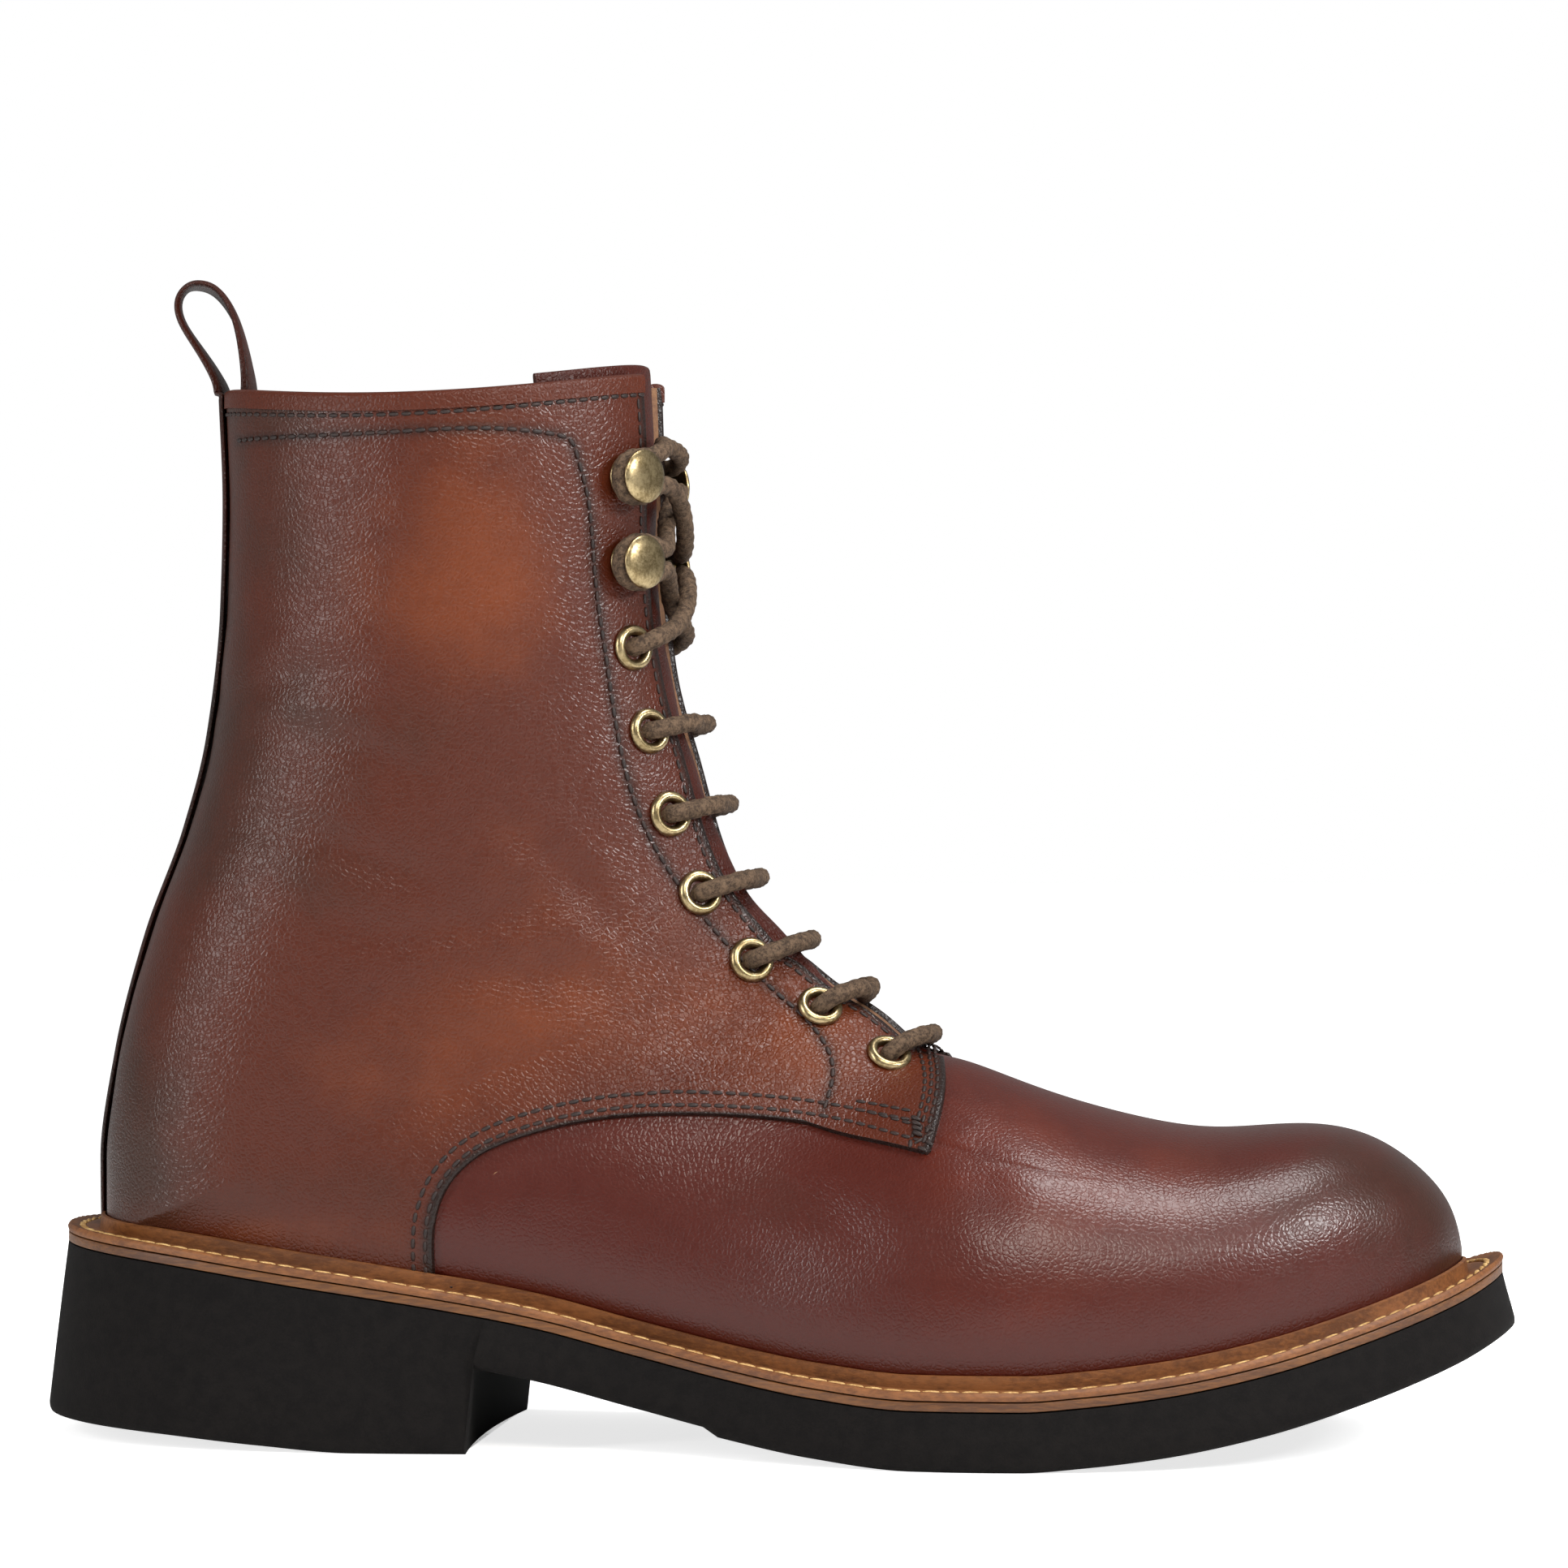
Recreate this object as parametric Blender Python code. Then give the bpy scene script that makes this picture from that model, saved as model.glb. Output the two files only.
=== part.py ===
"""Lace-up ankle boot, right foot.

+X runs from heel to toe, +Y to the inner (medial) side and +Z up, in metres. The origin is on the
floor, at the middle of the sole. The upper is a fan of section planes: rings around the leg, then
arches over the foot, each a rounded curve from the front line to the back or bottom line.
"""
from math import acos, cos, pi, radians, sin

import bmesh
import bpy
import numpy as np
from mathutils import Matrix, Vector

# Sole
SOLE_LENGTH = 0.305
SOLE_THICKNESS = 0.0116
WAIST_THICKNESS = 0.0103
HEEL_RISE = 0.0284
TOE_SPRING = 0.0244
HEEL_BEVEL = 0.0044
HEEL_FLARE = 0.004
TOE_FLARE = 0.0025
SIDE_FLARE = 0.0015
EDGE_BEVEL = 0.0012
BREAST_BOW = 0.002
MIDSOLE_THICKNESS = 0.0018
WELT_REACH = 0.0085
WELT_THICKNESS = 0.0016
WELT_LIP = 0.0044
LIP_THICKNESS = 0.0013
INSOLE_THICKNESS = 0.003
INSOLE_CLEARANCE = 0.0005

# Last and upper
LAST_LENGTH = 0.280
BALL_WIDTH = 0.094
VAMP_HEIGHT = 0.0663
SHAFT_FRONT = 0.1189
SHAFT_BACK = 0.1752
WALL = 0.0018
QUARTER_STEP = 0.0013
QUARTER_ROOT = 0.0009
QUARTER_LIFT = 0.0012
RIM = 0.0004
THROAT_TOP = 0.0135
THROAT_LOW = 0.006
COLLAR_DIP = 0.0042

# Tongue and back strap
TONGUE_THICKNESS = 0.0018
TONGUE_HALF_TOP = 0.031
TONGUE_HALF_LOW = 0.019
TONGUE_RISE = 0.003
TONGUE_CLEARANCE = 0.0008
STRAP_WIDTH = 0.014
STRAP_THICKNESS = 0.0012
LOOP_HEIGHT = 0.0234
LOOP_TWIST = radians(15)
LOOP_TAIL = 0.012
TAIL_CLEARANCE = 0.001

# Fastenings
EYELETS = 7
HOOKS = 2
EYELET_PITCH = 0.0175
FIRST_HOOK = 0.020
EYELET_INSET = 0.0075
EYELET_DIAMETER = 0.0095
EYELET_BORE = 0.005
BARREL_WALL = 0.0005
HOOK_BASE = 0.0092
HOOK_CAP = 0.011
HOOK_STEM = 0.0032
LACE_DIAMETER = 0.0038
LACE_SLACK = 0.0005
END_SPREAD = 0.0035

# Clearance between pieces that touch
GAP = 0.0003
# Clearance under a flat piece on the facings, whose leather bends away from it or towards it
SEAT_GAP = 0.0005

# Feather line, where the upper meets the sole. Columns: share of the last's length from the heel;
# middle of the line towards +Y and half its width, both as shares of the ball width.
FEATHER = (
    (0.00, 0.000, 0.000),
    (0.03, 0.000, 0.200),
    (0.08, 0.000, 0.285),
    (0.15, -0.002, 0.320),
    (0.25, -0.008, 0.318),
    (0.36, -0.027, 0.296),
    (0.46, -0.053, 0.318),
    (0.56, -0.067, 0.398),
    (0.64, -0.045, 0.465),
    (0.72, -0.003, 0.489),
    (0.80, 0.023, 0.463),
    (0.88, 0.043, 0.392),
    (0.94, 0.058, 0.300),
    (0.98, 0.067, 0.195),
    (1.00, 0.070, 0.000),
)

# Sole's top face. Columns: share of the sole's length; share of the rise above the tread's flat.
HEEL_LINE = (
    (0.000, 1.000), (0.100, 0.900), (0.190, 0.765), (0.290, 0.606), (0.355, 0.479),
    (0.420, 0.310), (0.487, 0.155), (0.543, 0.060), (0.610, 0.000), (0.680, 0.000),
)
TOE_LINE = (
    (0.610, 0.000), (0.680, 0.000), (0.720, 0.035), (0.772, 0.110), (0.835, 0.262),
    (0.898, 0.488), (0.960, 0.766), (1.000, 1.000),
)
# Heel's lower face. Columns: share of the sole's length; share of the bevel.
HEEL_TREAD = ((0.000, 1.000), (0.100, 0.680), (0.170, 0.300), (0.235, 0.000), (0.310, 0.000))

# Slices of the outsole, as shares of its length. The breast and the tread step fall between two.
HEEL_SLICES = (0.0, 0.0035, 0.014, 0.034, 0.064, 0.105, 0.150, 0.190, 0.235, 0.272, 0.310)
WAIST_SLICES = (0.316, 0.355, 0.395, 0.435, 0.470)
FORE_SLICES = (
    0.480, 0.520, 0.565, 0.610, 0.645, 0.680, 0.720, 0.760, 0.800, 0.840, 0.880, 0.915,
    0.945, 0.968, 0.986, 0.9965, 1.0,
)

# Rings of the shaft, collar first. Columns: back point's share of the last's length; its height as
# a share of SHAFT_BACK above the seat; front point's share of the last's length; its height as a
# share of SHAFT_FRONT above the instep; half width as a share of the ball width; place of the
# widest point, from front to back; roundness of the front half and of the back half.
SHAFT_RINGS = (
    (0.088, 1.000, 0.411, 1.000, 0.394, 0.50, 2.00, 2.00),
    (0.091, 0.872, 0.414, 0.840, 0.388, 0.50, 2.00, 2.00),
    (0.089, 0.740, 0.416, 0.655, 0.378, 0.52, 2.00, 2.00),
    (0.079, 0.592, 0.427, 0.470, 0.367, 0.55, 2.00, 2.10),
    (0.061, 0.478, 0.444, 0.336, 0.362, 0.60, 2.00, 2.15),
    (0.032, 0.352, 0.462, 0.209, 0.362, 0.66, 1.98, 2.20),
    (0.010, 0.215, 0.482, 0.119, 0.362, 0.70, 1.96, 2.30),
    (-0.001, 0.090, 0.502, 0.066, 0.362, 0.73, 1.94, 2.30),
    (0.000, 0.000, 0.521, 0.016, 0.362, 0.75, 1.92, 2.30),
)
# Arches of the foot, which stand on the feather line. Columns: foot point's and front point's
# shares of the last's length; front point's height above the feather line as a share of
# VAMP_HEIGHT; half width as a share of the feather line's half width there; place of the widest
# point; roundness of the upper half and of the lower half.
FOOT_ARCHES = (
    (0.010, 0.5280, 1.2670, None, 0.75, 1.90, 2.30),
    (0.030, 0.5360, 1.2350, None, 0.75, 1.90, 2.30),
    (0.062, 0.5475, 1.1900, None, 0.75, 1.90, 2.30),
    (0.150, 0.5625, 1.1450, 1.130, 0.72, 1.88, 2.30),
    (0.264, 0.5840, 1.0800, 1.165, 0.68, 1.85, 2.50),
    (0.371, 0.6070, 1.0000, 1.270, 0.66, 1.83, 2.60),
    (0.471, 0.6360, 0.9680, 1.260, 0.66, 1.85, 2.60),
    (0.564, 0.6750, 0.9125, 1.157, 0.68, 1.90, 2.60),
    (0.650, 0.7210, 0.8370, 1.090, 0.72, 2.00, 2.60),
    (0.736, 0.7750, 0.7530, 1.065, 0.75, 2.10, 2.60),
    (0.818, 0.8290, 0.6910, 1.060, 0.75, 2.20, 2.60),
    (0.893, 0.8890, 0.6395, 1.055, 0.74, 2.40, 2.70),
    (0.950, 0.9390, 0.5310, 1.050, 0.72, 2.40, 2.80),
    (0.981, 0.9770, 0.3560, 1.045, 0.70, 2.40, 2.80),
    (0.996, 0.9950, 0.2080, 1.040, 0.70, 2.40, 2.80),
    (1.000, 1.0010, 0.0900, 1.040, 0.70, 2.40, 2.80),
)
DIP_ROWS = 4
SEAT_ROW = 8
WAIST_ROW = 12
THROAT_ROW = 14
TONGUE_ROW = 16
TAB_ROW = 17
TOE_ROW = 24

# Quarters' front edge over the vamp, seen from the side. Columns: share of the last's length;
# height above the feather line as a share of VAMP_HEIGHT.
QUARTER_SWEEP = (
    (0.261, 0.000), (0.261, 0.195), (0.270, 0.326), (0.291, 0.439), (0.326, 0.535),
    (0.374, 0.627), (0.421, 0.692), (0.479, 0.742), (0.538, 0.756), (0.622, 0.704),
)
QUARTER_TAB = ((0.629, 0.814), (0.628, 0.925), (0.618, 1.018))

# Pull loop's middle line above the collar, seen from the side. Columns: place across the strap's
# two leaves, 0 at the outer and 1 at the inner one, and height as a share of LOOP_HEIGHT.
LOOP_LINE = (
    (-0.18, 0.15), (-0.86, 0.41), (-1.56, 0.66), (-1.72, 0.86), (-1.36, 0.98), (-0.84, 1.00),
    (-0.20, 0.93), (0.42, 0.71), (0.80, 0.41), (0.98, 0.15),
)

FRONT_COLUMNS = 6
BACK_COLUMNS = 5
STRAP_COLUMNS = 5
TONGUE_COLUMNS = 4
ROUND_SIDES = 10
WELT_STATIONS = 35
LACE_SIDES = 8


def natural_curve(xs, ys):
    """Natural cubic spline through the table's points, as a function of x."""
    xs, ys = np.array(xs, float), np.array(ys, float)
    steps = np.diff(xs)
    slopes = np.diff(ys) / steps
    system = np.eye(len(xs))
    right = np.zeros(len(xs))
    for i in range(1, len(xs) - 1):
        system[i, i - 1:i + 2] = steps[i - 1], 2 * (steps[i - 1] + steps[i]), steps[i]
        right[i] = 6 * (slopes[i] - slopes[i - 1])
    bend = np.linalg.solve(system, right)

    def curve(x):
        x = np.clip(x, xs[0], xs[-1])
        i = np.clip(np.searchsorted(xs, x) - 1, 0, len(xs) - 2)
        step, before, after = steps[i], x - xs[i], xs[i + 1] - x
        return ((bend[i] * after ** 3 + bend[i + 1] * before ** 3) / (6 * step)
                + (ys[i] / step - bend[i] * step / 6) * after
                + (ys[i + 1] / step - bend[i + 1] * step / 6) * before)

    return curve


def steady_curve(xs, ys):
    """Smooth curve through the table's points that never swings past them."""
    xs, ys = np.array(xs, float), np.array(ys, float)
    steps = np.diff(xs)
    slopes = np.diff(ys) / steps
    tangents = np.zeros(len(xs))
    tangents[0], tangents[-1] = slopes[0], slopes[-1]
    for i in range(1, len(xs) - 1):
        if slopes[i - 1] * slopes[i] > 0:
            tangents[i] = 2 / (1 / slopes[i - 1] + 1 / slopes[i])

    def curve(x):
        x = np.clip(x, xs[0], xs[-1])
        i = np.clip(np.searchsorted(xs, x) - 1, 0, len(xs) - 2)
        t = (x - xs[i]) / steps[i]
        rest = 1 - t
        return (ys[i] * (1 + 2 * t) * rest ** 2 + ys[i + 1] * (3 - 2 * t) * t ** 2
                + steps[i] * (tangents[i] * t * rest ** 2 - tangents[i + 1] * t ** 2 * rest))

    return curve


def column(table, index):
    return [row[index] for row in table]


# The last's base line and the sole's top face

LAST_BACK = (SOLE_LENGTH - LAST_LENGTH - WELT_REACH - TOE_FLARE) - SOLE_LENGTH / 2
TURN = [acos(1 - 2 * share) for share in column(FEATHER, 0)]
feather_middle = natural_curve(TURN, column(FEATHER, 1))
feather_half = natural_curve(TURN, column(FEATHER, 2))
heel_line = steady_curve(column(HEEL_LINE, 0), column(HEEL_LINE, 1))
toe_line = steady_curve(column(TOE_LINE, 0), column(TOE_LINE, 1))
heel_tread = steady_curve(column(HEEL_TREAD, 0), column(HEEL_TREAD, 1))


def feather_line(turn):
    """Middle and half width of the feather line; turn runs from 0 at the heel to pi at the toe."""
    return feather_middle(turn) * BALL_WIDTH, np.maximum(feather_half(turn), 0) * BALL_WIDTH


def last_x(share):
    return LAST_BACK + share * LAST_LENGTH


def sole_top(x):
    """Height of the sole's top face: the tread's thickness, the heel's rise and the toe spring."""
    share = x / SOLE_LENGTH + 0.5
    return SOLE_THICKNESS + HEEL_RISE * heel_line(share) + TOE_SPRING * toe_line(share)


def welt_base(x):
    """Height of the plane that the welt, the insole and the upper's lower edge stand on."""
    return sole_top(x) + MIDSOLE_THICKNESS + 2 * GAP


def push_out(x, y, turn, side, reach):
    """One side's line, heel to toe, moved outwards in plan by reach along its own normal."""
    along_x, along_y = np.gradient(x, turn), np.gradient(y, turn)
    along_x[[0, -1]] = 0
    length = np.hypot(along_x, along_y)
    out_x, out_y = -side * along_y / length, side * along_x / length
    return np.stack([x + reach * out_x, y + reach * out_y], axis=1)


def sides_of_outline(heel_reach, side_reach, toe_reach):
    """The feather line pushed outwards, as two dense lines from heel to toe.

    The push blends from the heel's to the side's and to the toe's value along the length.
    """
    turn = np.linspace(0, pi, 721)
    middle, half = feather_line(turn)
    x = last_x((1 - np.cos(turn)) / 2)
    back, front = np.clip(np.cos(turn), 0, 1) ** 2, np.clip(-np.cos(turn), 0, 1) ** 2
    reach = side_reach + back * (heel_reach - side_reach) + front * (toe_reach - side_reach)
    return [push_out(x, middle + side * half, turn, side, reach) for side in (-1, 1)]


def side_y(line, x):
    return np.interp(x, line[:, 0], line[:, 1])


HEEL_REACH = LAST_BACK + SOLE_LENGTH / 2 - HEEL_FLARE
WELT_EDGE = sides_of_outline(HEEL_REACH, WELT_REACH, WELT_REACH)
TREAD_EDGE = sides_of_outline(
    HEEL_REACH + HEEL_FLARE, WELT_REACH + SIDE_FLARE, WELT_REACH + TOE_FLARE)
# The whole boot is shifted sideways so that its sole is centred on the X axis.
SIDE_SHIFT = -(TREAD_EDGE[0][:, 1].min() + TREAD_EDGE[1][:, 1].max()) / 2


# The last's surface

RING_ROWS = np.arange(len(SHAFT_RINGS))
ARCH_ROWS = np.arange(len(FOOT_ARCHES)) + len(SHAFT_RINGS)
ALL_ROWS = np.concatenate([RING_ROWS, ARCH_ROWS])
seam_height = steady_curve(RING_ROWS, column(SHAFT_RINGS, 1))
back_share = steady_curve(ALL_ROWS, column(SHAFT_RINGS, 0) + column(FOOT_ARCHES, 0))
front_share = natural_curve(ALL_ROWS, column(SHAFT_RINGS, 2) + column(FOOT_ARCHES, 1))
widest_place = natural_curve(ALL_ROWS, column(SHAFT_RINGS, 5) + column(FOOT_ARCHES, 4))
front_roundness = natural_curve(ALL_ROWS, column(SHAFT_RINGS, 6) + column(FOOT_ARCHES, 5))
back_roundness = natural_curve(ALL_ROWS, column(SHAFT_RINGS, 7) + column(FOOT_ARCHES, 6))
ring_half = natural_curve(
    np.arange(WAIST_ROW + 1), column(SHAFT_RINGS, 4) + [SHAFT_RINGS[-1][4]] * 4)
arch_bulge = natural_curve(
    np.arange(WAIST_ROW, TOE_ROW + 1), column(FOOT_ARCHES[WAIST_ROW - len(SHAFT_RINGS):], 3))


def front_heights():
    """Front line's heights above the floor, row by row, from both tables."""
    arch_x = last_x(np.array(column(FOOT_ARCHES, 1)))
    arches = welt_base(arch_x) + VAMP_HEIGHT * np.array(column(FOOT_ARCHES, 2))
    rings = arches[0] + SHAFT_FRONT * np.array(column(SHAFT_RINGS, 3))
    return np.concatenate([rings, arches])


front_height = natural_curve(ALL_ROWS, front_heights())


def section(row):
    """All measures of the section planes at the given rows, each an array."""
    row = np.asarray(row, float)
    back_x = last_x(back_share(row))
    seat = welt_base(np.array(LAST_BACK))
    ring = row <= SEAT_ROW
    back_z = np.where(ring, seat + SHAFT_BACK * seam_height(row), welt_base(back_x))
    turn = np.arccos(1 - 2 * np.clip(back_share(row), 0, 1))
    middle, foot = feather_line(turn)
    foot = np.where(ring, 0, foot)
    half = np.where(row <= WAIST_ROW, ring_half(row) * BALL_WIDTH, arch_bulge(row) * foot)
    return {
        "back_x": back_x, "back_z": back_z,
        "front_x": last_x(front_share(row)), "front_z": front_height(row),
        "middle": np.where(ring, 0, middle) + SIDE_SHIFT, "half": half, "foot": foot,
        "widest": widest_place(row),
        "front_power": 2 / front_roundness(row), "back_power": 2 / back_roundness(row),
    }


def foot_angle(row):
    """Angle of the back half at its end: a right angle in a ring, less where an arch stands."""
    at = section(row)
    share = np.clip(at["foot"] / np.maximum(at["half"], 1e-9), 0, 1)
    share = np.where(at["half"] < 1e-6, 0.9, share)
    return np.arccos(share ** (1 / at["back_power"]))


def surface(row, angle, side):
    """Points of the last's outer surface, one for each row and angle.

    The angle is 0 on the front line and a right angle at the widest point. Up to there a point
    goes back by widest * (1 - cos(angle) ** power) of the plane's depth and sideways by
    sin(angle) ** power of the half width. Behind it, it goes back by the rest in proportion to
    sin ** power and sideways by cos ** power, until it reaches the back seam or the feather line.
    The collar dips at its sides, by the square of the share of the half width.
    """
    row, angle = np.broadcast_arrays(np.asarray(row, float), np.asarray(angle, float))
    at = section(row)
    end = np.maximum(foot_angle(row), 1e-6)
    ahead = np.clip(angle, 0, pi / 2)
    behind = np.clip(angle - pi / 2, 0, end)
    depth_front = at["widest"] * (1 - np.cos(ahead).clip(0) ** at["front_power"])
    depth_back = (1 - at["widest"]) * (np.sin(behind) / np.sin(end)) ** at["back_power"]
    depth = np.where(angle <= pi / 2, depth_front, at["widest"] + depth_back)
    wide_front = np.sin(ahead) ** at["front_power"]
    wide_back = np.cos(behind).clip(0) ** at["back_power"]
    wide_share = np.where(angle <= pi / 2, wide_front, wide_back)
    wide = at["half"] * wide_share
    x = at["front_x"] + depth * (at["back_x"] - at["front_x"])
    dip = COLLAR_DIP * np.clip(1 - row / DIP_ROWS, 0, 1) * wide_share ** 2
    z = at["front_z"] + depth * (at["back_z"] - at["front_z"]) - dip
    return np.stack([x, at["middle"] + side * wide, z], axis=-1)


def surface_normal(row, angle, side):
    """Outward unit normal of the last, from small steps along both parameters."""
    row, angle = np.broadcast_arrays(np.asarray(row, float), np.asarray(angle, float))
    row = np.clip(row, 0.01, TOE_ROW - 0.03)
    end = pi / 2 + foot_angle(row)
    angle = np.clip(angle, 0.02, end - 0.01)
    step = 0.01
    down = surface(row + step, angle, side) - surface(row - step, angle, side)
    round_ = surface(row, angle + step, side) - surface(row, angle - step, side)
    normal = np.cross(down, round_) * side
    return normal / np.linalg.norm(normal, axis=-1, keepdims=True)


def front_angle(row, half_gap):
    """Angle on the front half where a row lies half_gap from the middle plane."""
    at = section(row)
    share = np.clip(half_gap / np.maximum(at["half"], 1e-9), 0, 1)
    return np.arcsin(share ** (1 / at["front_power"]))


def throat_half(row):
    """Half the gap between the facings: widest at the collar, narrowest at the throat's foot."""
    return THROAT_LOW + (THROAT_TOP - THROAT_LOW) * np.clip(1 - row / THROAT_ROW, 0, 1)


# Making objects

def finish(name, colour, roughness, metallic=0.0):
    material = bpy.data.materials.new(name)
    material.use_nodes = True
    shader = material.node_tree.nodes["Principled BSDF"]
    shader.inputs["Base Color"].default_value = (*colour, 1)
    shader.inputs["Roughness"].default_value = roughness
    shader.inputs["Metallic"].default_value = metallic
    return material


CALF = finish("burnished calf", (0.19, 0.045, 0.018), 0.35)
LINING = finish("tongue calf", (0.13, 0.035, 0.017), 0.45)
WELT_LEATHER = finish("welt leather", (0.35, 0.16, 0.06), 0.55)
EDGE_LEATHER = finish("midsole leather", (0.16, 0.07, 0.035), 0.55)
FOAM_RUBBER = finish("sole rubber", (0.012, 0.009, 0.008), 0.8)
INSOLE_LEATHER = finish("insole leather", (0.30, 0.17, 0.09), 0.6)
BRASS = finish("antique brass", (0.42, 0.33, 0.18), 0.35, 1.0)
LACE = finish("waxed lace", (0.085, 0.055, 0.038), 0.75)


def add_mesh(name, points, faces, material):
    """Mesh object from points and faces, with points in the same place joined."""
    mesh = bpy.data.meshes.new(name)
    work = bmesh.new()
    corners = [work.verts.new(point) for point in np.asarray(points, float).tolist()]
    for face in faces:
        work.faces.new([corners[i] for i in face])
    bmesh.ops.remove_doubles(work, verts=work.verts, dist=1e-6)
    bmesh.ops.dissolve_degenerate(work, dist=1e-6, edges=work.edges)
    work.to_mesh(mesh)
    work.free()
    mesh.shade_smooth()
    mesh.set_sharp_from_angle(angle=radians(40))
    mesh.materials.append(material)
    thing = bpy.data.objects.new(name, mesh)
    bpy.context.scene.collection.objects.link(thing)
    return thing


def grid_faces(rows, columns, wrap_rows=False, wrap_columns=False):
    """Quads of a grid of points stored row by row."""
    faces = []
    for i in range(rows if wrap_rows else rows - 1):
        for j in range(columns if wrap_columns else columns - 1):
            after_i, after_j = (i + 1) % rows, (j + 1) % columns
            faces.append((i * columns + j, after_i * columns + j,
                          after_i * columns + after_j, i * columns + after_j))
    return faces


def add_loft(name, loops, material):
    """Closed solid through loops of equal length, with a flat cap at each open end."""
    loops = np.asarray(loops, float)
    rows, columns = loops.shape[:2]
    faces = grid_faces(rows, columns, wrap_columns=True)
    faces.append(tuple(range(columns)))
    faces.append(tuple(range(rows * columns - 1, (rows - 1) * columns - 1, -1)))
    return add_mesh(name, loops.reshape(-1, 3), faces, material)


def add_collapsed_loft(name, loops, material):
    """Closed solid through loops whose first and last loop are an edge, and need no cap."""
    loops = np.asarray(loops, float)
    rows, columns = loops.shape[:2]
    faces = [face[::-1] for face in grid_faces(rows, columns, wrap_columns=True)]
    return add_mesh(name, loops.reshape(-1, 3), faces, material)


def thicken(thing, outwards, inwards):
    """Wall from a sheet, outwards and inwards of it along its normals."""
    wall = thing.modifiers.new("wall", "SOLIDIFY")
    wall.thickness = outwards + inwards
    wall.offset = (outwards - inwards) / (outwards + inwards)
    wall.use_even_offset = False
    return thing


def combine(thing, other, operation):
    """Boolean with a guide object, which is then hidden."""
    boolean = thing.modifiers.new(operation.lower(), "BOOLEAN")
    boolean.object = other
    boolean.operation = operation
    boolean.solver = "EXACT"
    other.hide_render = True
    other.display_type = "WIRE"


# Sole, midsole, insole and welt

def tread_height(x, thickness):
    return sole_top(x) - thickness


def slice_plan(share, bow):
    """Plan of one slice: lower-edge and upper-edge points, sideways from -1 to 1."""
    across = np.array([-1, -0.5, 0, 0.5, 1])
    low_x = (share - 0.5) * SOLE_LENGTH - bow * (1 - across ** 2)
    ends = [side_y(TREAD_EDGE[0], low_x[0]), side_y(TREAD_EDGE[1], low_x[-1])]
    low_y = ends[0] + (ends[1] - ends[0]) * (across + 1) / 2
    back, front = WELT_EDGE[0][0, 0], WELT_EDGE[0][-1, 0]
    top_x = back + share * (front - back)
    top_y = [side_y(line, top_x) for line in WELT_EDGE]
    return low_x, low_y + SIDE_SHIFT, top_x, np.array(top_y) + SIDE_SHIFT


def sole_slice(share, bottom, bow=0):
    """Loop of one slice of the outsole: top, leaning side, bevel and tread, then back up."""
    low_x, low_y, top_x, top_y = slice_plan(share, bow)
    top_z = float(sole_top(top_x))
    low_z = bottom(low_x)
    bevel = min(EDGE_BEVEL, (low_y[-1] - low_y[0]) / 4)
    inner_y = low_y.copy()
    inner_y[0] += bevel
    inner_y[-1] -= bevel
    points = [(top_x, top_y[0], top_z), (low_x[0], low_y[0], low_z[0] + EDGE_BEVEL)]
    points += zip(low_x, inner_y, low_z)
    points += [(low_x[-1], low_y[-1], low_z[-1] + EDGE_BEVEL), (top_x, top_y[1], top_z)]
    points.append((top_x, top_y.mean(), top_z))
    return points


def make_outsole():
    def heel_bottom(x):
        return HEEL_BEVEL * heel_tread(x / SOLE_LENGTH + 0.5)

    def waist_bottom(x):
        return tread_height(x, WAIST_THICKNESS)

    def fore_bottom(x):
        return tread_height(x, SOLE_THICKNESS)

    loops = [sole_slice(share, heel_bottom) for share in HEEL_SLICES[:-1]]
    loops.append(sole_slice(HEEL_SLICES[-1], heel_bottom, BREAST_BOW))
    loops.append(sole_slice(WAIST_SLICES[0], waist_bottom, BREAST_BOW))
    loops += [sole_slice(share, waist_bottom) for share in WAIST_SLICES[1:]]
    loops += [sole_slice(share, fore_bottom) for share in FORE_SLICES]
    return add_collapsed_loft("outsole", loops, FOAM_RUBBER)


def slab(name, edge, shares, base, thickness, material):
    """Even layer inside an outline, bent along the sole's top."""
    back, front = edge[0][0, 0], edge[0][-1, 0]
    loops = []
    for share in shares:
        x = back + share * (front - back)
        left, right = (float(side_y(line, x)) + SIDE_SHIFT for line in edge)
        low = float(base(x))
        high = low + thickness
        middle = (left + right) / 2
        loops.append([(x, left, low), (x, middle, low), (x, right, low),
                      (x, right, high), (x, middle, high), (x, left, high)])
    return add_collapsed_loft(name, loops, material)


def make_midsole():
    def base(x):
        return sole_top(x) + GAP

    shares = HEEL_SLICES + WAIST_SLICES + FORE_SLICES
    return slab("midsole", WELT_EDGE, shares, base, MIDSOLE_THICKNESS, EDGE_LEATHER)


def make_insole():
    inset = -(WALL + INSOLE_CLEARANCE)
    edge = sides_of_outline(inset, inset, inset)
    shares = (1 - np.cos(np.linspace(0, pi, 27))) / 2
    return slab("insole", edge, shares, welt_base, INSOLE_THICKNESS, INSOLE_LEATHER)


QUARTER_FOOT_X = last_x(QUARTER_SWEEP[0][0])
STEP_DOWN = (QUARTER_FOOT_X + 2 * GAP, QUARTER_FOOT_X + 4 * QUARTER_STEP)


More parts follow.
